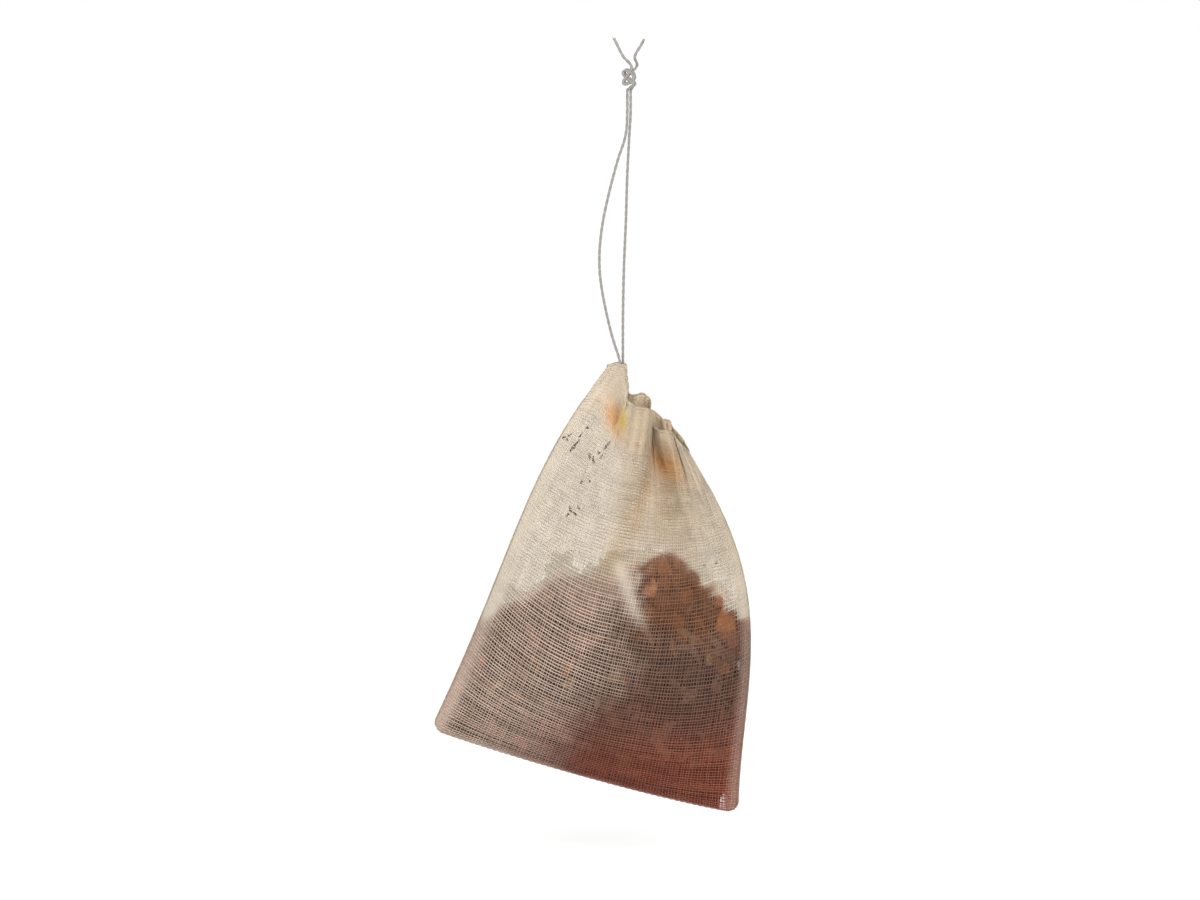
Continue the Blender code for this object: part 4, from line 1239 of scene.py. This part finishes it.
    def seam_thread(self, material: bpy.types.Material) -> bpy.types.Object:
        """Makes the sewing thread that closes both side seams, in and out of the cloth every stitch."""
        made = []
        for at in (0.0, 1.0):
            fine = np.linspace(0.004, self.shape.hem_start, 700)
            line = 0.5 * (self.shape.point(at, fine, Side.FRONT) + self.shape.point(at, fine, Side.BACK))
            run = np.linspace(0.0, line_length(line), len(line))
            side, across = path_frame(line)
            wave = np.sin(math.tau * run / self.stitch_pitch)[:, None]
            line = line + self.seam_thread_sway * wave * np.array([0.0, 1.0, 0.0])
            thin = 0.5 * self.seam_thread_width
            made.append(tubes(line[None], thin * side[None], thin * across[None], 6))
        points, faces = merged(made)
        seams = add_mesh("seam_threads", points, faces, material)
        spot = np.repeat([0.02, 0.98], len(points) // 2)
        level = (points[:, 2] - points[:, 2].min()) / np.ptp(points[:, 2])
        set_tint(seams, 0.9 * self.stain.tint(points, spot, level, Side.BACK))
        return seams

    def stitches(self, material: bpy.types.Material) -> bpy.types.Object:
        """Makes the hem's row of running stitches round both panels."""
        made, tints = [], []
        level = self.shape.hem_start
        fine = np.linspace(0.02, 0.98, 500)
        for side in Side:
            line = self.shape.point(fine, np.full(500, level), side)
            points, faces = self.running(fine, line, side, level)
            spot = np.interp(points[:, 0], line[:, 0], fine)
            tints.append(self.stain.tint(points, spot, np.full(len(points), level), side))
            made.append((points, faces))
        points, faces = merged(made)
        stitches = add_mesh("hem_stitches", points, faces, material)
        set_tint(stitches, np.concatenate(tints))
        return stitches

    def running(self, fine: Array, line: Array, side: Side, level: float) -> tuple[Array, Array]:
        """Running stitches along a level of a panel: short lens-shaped tubes just outside the cloth."""
        run = np.concatenate([[0.0], np.cumsum(np.linalg.norm(np.diff(line, axis=0), axis=1))])
        starts = np.arange(0.5 * self.stitch_pitch, run[-1] - self.stitch_pitch, self.stitch_pitch)
        s = np.linspace(0.0, 1.0, 7)
        at = np.interp(starts[:, None] + s * self.stitch_length, run, fine)
        here, along, upward, out = self.shape.steps(at, np.full(at.shape, level), side)
        hump = np.sin(math.pi * s)[None, :, None]
        lines = here + out * (self.stitch_foot + self.stitch_hump * hump)
        wide = 0.5 * self.stitch_width * (0.45 + 0.55 * hump)
        return tubes(lines, wide * upward, 0.8 * wide * out, 6)


class Shade(Enum):
    """Browns of steeped leaf, as sRGB."""

    BLACK = "2f1e16"
    DARK = "3f291d"
    UMBER = "4d3323"
    BROWN = "5c4130"
    WARM = "6d5240"
    MAROON = "5e3728"
    RUST = "85502f"
    ORANGE = "b27142"
    COPPER = "6d4128"
    TAN = "8d7759"
    OLIVE = "7a694f"


@dataclass(frozen=True)
class Leaf:
    """One leaf or lump that shows through the front: its middle, length, width, angle and colour."""

    x: float
    z: float
    length: float
    width: float
    turn: float
    shade: Shade


@dataclass
class TeaHeap:
    """The wet tea in the bag: a dark packed core, leaves against the cloth, and crumbs stuck higher up."""

    shape: BagShape
    clearance: float = 0.00045
    core_depth: float = 0.0011
    left_margin: float = 0.034
    right_margin: float = 0.060
    foot: float = 0.004
    bare_strip: tuple[float, float, float] = (0.0012, 0.0024, 0.0105)
    core_colour: str = "2c1d16"
    bump_height: float = 0.00045
    bump_length: float = 0.0042
    bump_spread: tuple[float, float] = (0.068, 0.086)
    leaf_count: int = 620
    leaf_length: tuple[float, float] = (0.0035, 0.0085)
    leaf_slimness: tuple[float, float] = (0.22, 0.55)
    leaf_roll: tuple[float, float] = (0.0001, 0.0008)
    leaf_depth: tuple[float, float] = (0.0008, 0.0020)
    loose_count: int = 70
    loose_length: tuple[float, float] = (0.003, 0.0065)
    loose_slimness: tuple[float, float] = (0.3, 0.7)
    loose_roll: tuple[float, float] = (0.0002, 0.0010)
    loose_depth: tuple[float, float] = (0.0005, 0.0030)
    left_edge: tuple[float, float] = (0.13, 0.4)
    dome: float = 0.25
    placed_length: float = 1.25
    placed_width: float = 1.5
    lump_depth: float = 0.00045
    crumb_depth: float = -0.00004
    top_line: Spots = (
        (-0.044, -0.1200), (-0.032, -0.1145), (-0.0227, -0.1105), (-0.0132, -0.1070), (-0.0038, -0.1055),
        (0.0057, -0.1042), (0.0104, -0.1042), (0.0151, -0.1068), (0.0185, -0.1086), (0.0214, -0.1125),
        (0.0300, -0.1215),
    )

    def top(self, x: Array, y: Array) -> Array:
        """Height of the heap's top over a place: its line, lumps, and a dip at the front's bare strip."""
        lumps = 0.0014 * ripple(x, y, 0.0085, 31) + 0.0010 * ripple(x, y, 0.0036, 32)
        centre, width, deep = self.bare_strip
        dip = deep * bell((x - centre) / width) * smoothstep(0.0, -0.004, y)
        return table_line(self.top_line, x) + lumps - dip

    def wall_top(self, across: Array, side: Side, below: float) -> Array:
        """Height, as a share of the panel, where the heap's top meets the cloth at each place across."""
        ups = np.linspace(0.1, 0.9, 321)
        grid = self.shape.point(across[:, None], ups[None, :], side, below)
        above = grid[..., 2] > self.top(grid[..., 0], grid[..., 1])
        return ups[np.argmax(above, axis=1)]

    def core(self, material: bpy.types.Material) -> bpy.types.Object:
        """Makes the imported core: both panels' inner form up to the heap's top, closed over by it."""
        across = np.linspace(self.left_margin, 1.0 - self.right_margin, 110)
        rows = 70
        wide, tall = self.bump_spread
        walls = {}
        for side in Side:
            high = self.wall_top(across, side, self.core_depth)
            share = np.linspace(0.0, 1.0, rows)[None, :]
            ups = self.foot + (high[:, None] - self.foot) * share
            spot = np.broadcast_to(across[:, None], ups.shape)
            seed = 41 if side is Side.FRONT else 42
            bump = self.bump_height * (1.0 + ripple(spot * wide, ups * tall, self.bump_length, seed))
            inward = np.minimum(spot - self.left_margin, 1.0 - self.right_margin - spot)
            ends = smoothstep(0.0, 0.05, inward + 0.004)
            below = self.core_depth + np.maximum(bump, 0.0) / (0.3 + ends)
            walls[side] = self.shape.point(spot, ups, side, below)
        share = np.linspace(0.0, 1.0, 34)[1:-1][None, :, None]
        front, back = walls[Side.FRONT], walls[Side.BACK]
        over = front[:, -1:] + share * (back[:, -1:] - front[:, -1:])
        lift = np.sin(math.pi * share[..., 0])
        over[..., 2] += lift * (self.top(over[..., 0], over[..., 1]) - over[..., 2])
        sections = np.concatenate([front, over, back[:, ::-1]], 1)
        count, size = sections.shape[:2]
        faces = grid_faces(count, size, closed=True)[:, ::-1]
        points = sections.reshape(-1, 3)
        caps = np.stack([sections[0].mean(axis=0), sections[-1].mean(axis=0)])
        ring = np.arange(size)
        beside = np.roll(ring, -1)
        first = np.stack([ring, beside, np.full(size, len(points)), np.full(size, len(points))], 1)
        last = np.stack([beside, ring, np.full(size, len(points) + 1), np.full(size, len(points) + 1)], 1)
        last[:, :2] += (count - 1) * size
        core = add_mesh("tea_core", np.concatenate([points, caps]), faces, material)
        self.close_ends(core, first[:, :3], last[:, :3])
        tint = np.broadcast_to(np.array(linear(self.core_colour)), (len(points) + 2, 3))
        uneven = 1.0 + 0.5 * ripple(points[:, 0], points[:, 2], 0.006, 43)
        tint = tint * np.clip(np.append(uneven, [1.0, 1.0]), 0.4, 2.0)[:, None]
        set_tint(core, tint)
        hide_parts("tea_leaf_mass")
        return core

    def close_ends(self, core: bpy.types.Object, first: Array, last: Array) -> None:
        """Adds the triangles that close the core's two ends."""
        mesh = bmesh.new()
        mesh.from_mesh(core.data)
        mesh.verts.ensure_lookup_table()
        for corners in (*first, *last):
            mesh.faces.new([mesh.verts[int(k)] for k in corners]).smooth = True
        bmesh.ops.recalc_face_normals(mesh, faces=mesh.faces)
        mesh.to_mesh(core.data)
        mesh.free()

    def leaf_mesh(
        self, side: Side, centre: Array, turn: Array, length: Array, width: Array, roll: Array, depth: Array,
        seed: int,
    ) -> tuple[Array, Array]:
        """Leaves that lie against the inside of a panel.

        A leaf is laid out in the cloth's own coordinates, so that it follows the cloth: its outline is
        width * (1 - s * s) ** 0.75 about a slightly bent midrib, and its edges roll inwards by roll * t * t.

        Args:
            side: the panel.
            centre: places across and heights, as (leaves, 2).
            turn: angle of each midrib to the level.
            length: lengths, in metres.
            width: widths, in metres.
            roll: how far the edges turn away from the cloth, in metres.
            depth: how far under the cloth each leaf lies, in metres.
            seed: chooses the outlines' unevenness.

        Returns:
            Vertices and quads.
        """
        rng = np.random.default_rng(seed)
        stations, around = 9, 6
        count = len(centre)
        s = np.linspace(-1.0, 1.0, stations)[None, :, None]
        angle = np.linspace(0.0, math.tau, around, endpoint=False)[None, None, :]
        bend = rng.uniform(-0.35, 0.35, count)[:, None, None]
        edge = 1.0 + 0.22 * np.sin(5.0 * s + rng.uniform(0, math.tau, count)[:, None, None])
        skew = rng.uniform(-0.3, 0.3, count)[:, None, None]
        outline = np.clip(1.0 - np.abs(s + skew * (1 - s * s)) ** 2.2, 0.0, 1.0) ** 0.75
        half = 0.5 * width[:, None, None] * edge * outline
        t = np.cos(angle)
        p = 0.5 * length[:, None, None] * s + 0.0 * t
        q = half * t + bend * length[:, None, None] * (s * s - 0.4)
        cos, sin = np.cos(turn)[:, None, None], np.sin(turn)[:, None, None]
        across = centre[:, 0, None, None] + (p * cos - q * sin) / self.shape.bottom_width
        up = centre[:, 1, None, None] + (p * sin + q * cos) / self.shape.seam_length
        thick = 0.00012 * np.sin(angle) * np.clip(1.0 - s * s, 0.0, 1.0) ** 0.5
        curl = roll[:, None, None] * (t * t * 0.7 + 0.5 * np.abs(s) ** 3)
        under = depth[:, None, None]
        below = np.maximum(under + curl + thick, np.minimum(under, self.clearance))
        points = self.shape.point(np.clip(across, 0.0, 1.0), np.clip(up, 0.0, 1.0), side, below)
        one = grid_faces(stations, around, closed=True)
        faces = (one[None] + (np.arange(count) * stations * around)[:, None, None]).reshape(-1, 4)
        faces = faces if side is Side.FRONT else faces[:, ::-1]
        return points.reshape(-1, 3), faces

    def palette(self, *shades: Shade) -> Array:
        """The shades in linear light, as rows."""
        return np.array([linear(shade.value) for shade in shades])

    def shades(self, count: int, rusty: Array, rng: np.random.Generator) -> Array:
        """A brown for each leaf: mostly dark, rusty where the share rusty says, and a few tan."""
        browns = self.palette(Shade.BLACK, Shade.DARK, Shade.UMBER, Shade.BROWN, Shade.WARM)
        rust = self.palette(Shade.RUST, Shade.MAROON, Shade.COPPER)
        tan = self.palette(Shade.TAN, Shade.OLIVE)
        pick = browns[rng.integers(0, len(browns), count)]
        draw = rng.uniform(size=count)
        pick = np.where((draw < rusty)[:, None], rust[rng.integers(0, len(rust), count)], pick)
        return np.where((draw > 0.985)[:, None], tan[rng.integers(0, len(tan), count)], pick)

    def leaves(self, side: Side, material: bpy.types.Material) -> bpy.types.Object:
        """Makes the leaves pressed against one panel, up to the heap's uneven top and a little above it."""
        rng = np.random.default_rng(SEED + (0 if side is Side.FRONT else 1))
        count = self.leaf_count
        across = rng.uniform(self.left_margin + 0.005, 1.0 - 0.5 * self.right_margin, count)
        high = self.wall_top(across, side, 0.0)
        share = rng.uniform(0.0, 1.0, count) ** 0.8
        up = 0.035 + (high - 0.035) * share + 0.006 * rng.uniform(-1, 1, count)
        across = np.maximum(across, self.left_edge[0] - self.left_edge[1] * up)
        length = rng.uniform(*self.leaf_length, count)
        width = length * rng.uniform(*self.leaf_slimness, count)
        turn = rng.normal(-0.35, 0.9, count)
        roll = rng.uniform(*self.leaf_roll, count)
        depth = rng.uniform(*self.leaf_depth, count)
        centre = np.stack([across, up], 1)
        points, faces = self.leaf_mesh(side, centre, turn, length, width, roll, depth, SEED + 2)
        rusty = 0.06 + 0.40 * smoothstep(0.55, 0.70, across) * smoothstep(0.35, 0.46, up)
        shade = self.shades(count, rusty, rng)
        leaves = add_mesh(f"tea_leaves_{side.name.lower()}", points, faces, material)
        set_tint(leaves, np.repeat(shade, len(points) // count, axis=0))
        return leaves

    def loose_leaves(self, material: bpy.types.Material) -> bpy.types.Object:
        """Makes the leaves that stand up from the heap's top, where they show through the sheer cloth."""
        rng = np.random.default_rng(SEED + 5)
        made, shades = [], []
        for side in Side:
            count = self.loose_count
            across = rng.uniform(0.14, 0.88, count)
            high = self.wall_top(across, side, 0.0)
            up = high + rng.uniform(-0.010, 0.012, count)
            length = rng.uniform(*self.loose_length, count)
            width = length * rng.uniform(*self.loose_slimness, count)
            turn = rng.normal(1.2, 0.8, count)
            roll = rng.uniform(*self.loose_roll, count)
            depth = rng.uniform(*self.loose_depth, count)
            centre = np.stack([across, up], 1)
            made.append(self.leaf_mesh(side, centre, turn, length, width, roll, depth, SEED + 6))
            shades.append(self.shades(count, 0.15 + 0.6 * smoothstep(0.55, 0.7, across), rng))
        points, faces = merged(made)
        leaves = add_mesh("tea_leaves_on_top", points, faces, material)
        shade = np.concatenate(shades)
        set_tint(leaves, np.repeat(shade, len(points) // len(shade), axis=0))
        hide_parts(*(f"tea_leaf_{number:02d}" for number in range(1, 9)))
        return leaves

    def placed(
        self, name: str, leaves: tuple[Leaf, ...], depth: float, material: bpy.types.Material
    ) -> bpy.types.Object:
        """Makes the listed leaves that lie against the inside of the front.

        Args:
            name: the piece's name.
            leaves: where they lie and how large they are.
            depth: how far under the cloth's middle they lie, in metres.
            material: wet leaf.

        Returns:
            The leaves as one object.
        """
        sizes = np.array([(leaf.x, leaf.z, leaf.length, leaf.width, leaf.turn) for leaf in leaves])
        x, z, length, width, turn = sizes.T
        length, width = self.placed_length * length, self.placed_width * width
        centre = self.shape.place_of(x, z, Side.FRONT)
        under, roll = np.full(len(leaves), depth), self.dome * width
        points, faces = self.leaf_mesh(Side.FRONT, centre, turn, length, width, roll, under, SEED + 10)
        piece = add_mesh(name, points, faces, material)
        shades = self.palette(*(leaf.shade for leaf in leaves))
        set_tint(piece, np.repeat(shades, len(points) // len(leaves), axis=0))
        return piece

    def lumps(self) -> tuple[Leaf, ...]:
        """The large leaves and rusty lumps at the heap's top edge."""
        return (
            Leaf(0.0016, -0.1007, 0.0042, 0.0026, 1.35, Shade.TAN),
            Leaf(0.0020, -0.1040, 0.0036, 0.0020, 1.2, Shade.OLIVE),
            Leaf(0.0045, -0.1018, 0.0046, 0.0034, 1.1, Shade.RUST),
            Leaf(0.0073, -0.1024, 0.0044, 0.0032, 0.4, Shade.ORANGE),
            Leaf(0.0101, -0.1000, 0.0048, 0.0024, 1.50, Shade.ORANGE),
            Leaf(0.0107, -0.1038, 0.0038, 0.0028, 0.7, Shade.COPPER),
            Leaf(0.0135, -0.1051, 0.0036, 0.0022, 0.2, Shade.MAROON),
            Leaf(0.0075, -0.1058, 0.0046, 0.0026, -0.2, Shade.RUST),
            Leaf(0.0045, -0.1064, 0.0040, 0.0030, 0.9, Shade.ORANGE),
            Leaf(0.0120, -0.1080, 0.0044, 0.0028, 0.5, Shade.RUST),
            Leaf(0.0160, -0.1078, 0.0044, 0.0030, -0.4, Shade.COPPER),
            Leaf(0.0189, -0.1085, 0.0060, 0.0042, -0.5, Shade.ORANGE),
            Leaf(0.0205, -0.1141, 0.0054, 0.0046, -0.9, Shade.ORANGE),
            Leaf(0.0214, -0.1179, 0.0044, 0.0040, -1.1, Shade.RUST),
            Leaf(0.0063, -0.1085, 0.0052, 0.0032, 0.1, Shade.COPPER),
            Leaf(0.0101, -0.1094, 0.0052, 0.0036, -0.2, Shade.MAROON),
            Leaf(0.0041, -0.1116, 0.0042, 0.0030, 0.5, Shade.COPPER),
            Leaf(0.0167, -0.1116, 0.0050, 0.0034, -0.6, Shade.BROWN),
            Leaf(-0.0139, -0.1008, 0.0054, 0.0036, 0.5, Shade.BROWN),
            Leaf(-0.0158, -0.1032, 0.0046, 0.0022, -0.4, Shade.DARK),
            Leaf(-0.0120, -0.1040, 0.0040, 0.0026, 0.9, Shade.UMBER),
            Leaf(-0.0040, -0.1006, 0.0036, 0.0013, 1.3, Shade.BLACK),
            Leaf(-0.0056, -0.1035, 0.0042, 0.0017, 1.0, Shade.DARK),
            Leaf(-0.0028, -0.1040, 0.0040, 0.0016, 1.4, Shade.BLACK),
            Leaf(-0.0250, -0.1085, 0.0050, 0.0020, -0.5, Shade.DARK),
        )

    def crumbs(self) -> tuple[Leaf, ...]:
        """The crumbs and slivers of leaf that stick to the cloth above the heap."""
        return (
            Leaf(-0.0135, -0.0756, 0.0013, 0.0007, 0.6, Shade.BLACK),
            Leaf(-0.0129, -0.0762, 0.0010, 0.0005, -0.5, Shade.DARK),
            Leaf(-0.0123, -0.0751, 0.0012, 0.0005, 0.8, Shade.BLACK),
            Leaf(-0.0117, -0.0779, 0.0018, 0.0007, 0.9, Shade.BLACK),
            Leaf(-0.0109, -0.0766, 0.0020, 0.0006, 1.0, Shade.BLACK),
            Leaf(-0.0101, -0.0749, 0.0011, 0.0005, 0.9, Shade.DARK),
            Leaf(-0.0087, -0.0734, 0.0012, 0.0005, 0.2, Shade.DARK),
            Leaf(-0.0083, -0.0792, 0.0017, 0.0007, -0.6, Shade.BLACK),
            Leaf(-0.0073, -0.0798, 0.0020, 0.0007, -0.7, Shade.BLACK),
            Leaf(-0.0049, -0.0770, 0.0019, 0.0007, 1.1, Shade.DARK),
            Leaf(-0.0041, -0.0762, 0.0016, 0.0006, 0.9, Shade.UMBER),
            Leaf(-0.0057, -0.0790, 0.0014, 0.0006, 1.2, Shade.DARK),
            Leaf(-0.0062, -0.0783, 0.0012, 0.0005, 0.4, Shade.BLACK),
            Leaf(-0.0099, -0.0844, 0.0011, 0.0007, 0.5, Shade.BLACK),
            Leaf(-0.0082, -0.0842, 0.0007, 0.0004, 0.1, Shade.DARK),
            Leaf(-0.0122, -0.0900, 0.0018, 0.0006, -0.6, Shade.DARK),
            Leaf(-0.0112, -0.0908, 0.0014, 0.0006, -0.5, Shade.BLACK),
            Leaf(-0.0128, -0.0912, 0.0012, 0.0005, 0.7, Shade.DARK),
            Leaf(-0.0105, -0.0895, 0.0010, 0.0005, -0.4, Shade.UMBER),
            Leaf(0.0183, -0.1015, 0.0009, 0.0006, 0.3, Shade.BLACK),
            Leaf(0.0158, -0.1018, 0.0008, 0.0006, 1.0, Shade.DARK),
            Leaf(0.0128, -0.0960, 0.0006, 0.0004, 0.4, Shade.DARK),
        )


def main() -> None:
    """Builds the studio and the bag's pieces in order."""
    logging.basicConfig(level=logging.INFO, format="%(name)s: %(message)s")
    cad_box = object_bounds()
    studio = Studio()
    studio.camera()
    twine = TwistedCotton().build()
    shape = BagShape()
    string = Drawstring(shape)
    pieces = [string.build(twine), StringKnot(string).build(twine)]

    bag = MuslinBag(shape, Stain(shape))
    haze, yarn = MuslinHaze().build(), CottonThread().build()
    veil = bag.veil(haze)
    threads = [bag.threads(side, run, yarn) for side in Side for run in Run]
    sewing = [bag.seam_thread(yarn), bag.stitches(yarn)]
    pieces += [veil, *threads, *sewing]

    heap = TeaHeap(shape)
    leaf = WetLeaf().build()
    pieces += [heap.core(leaf), *(heap.leaves(side, leaf) for side in Side), heap.loose_leaves(leaf)]
    pieces.append(heap.placed("tea_lumps", heap.lumps(), heap.lump_depth, leaf))
    pieces.append(heap.placed("tea_crumbs", heap.crumbs(), heap.crumb_depth, leaf))
    for piece in pieces:
        log.info("%s: %d faces", piece.name, len(piece.data.polygons))

    studio.light()
    studio.floor(cad_box[0][2], PaleFloor().build())
    bpy.context.scene.view_settings.view_transform = "Standard"


if __name__ == "__main__":
    main()
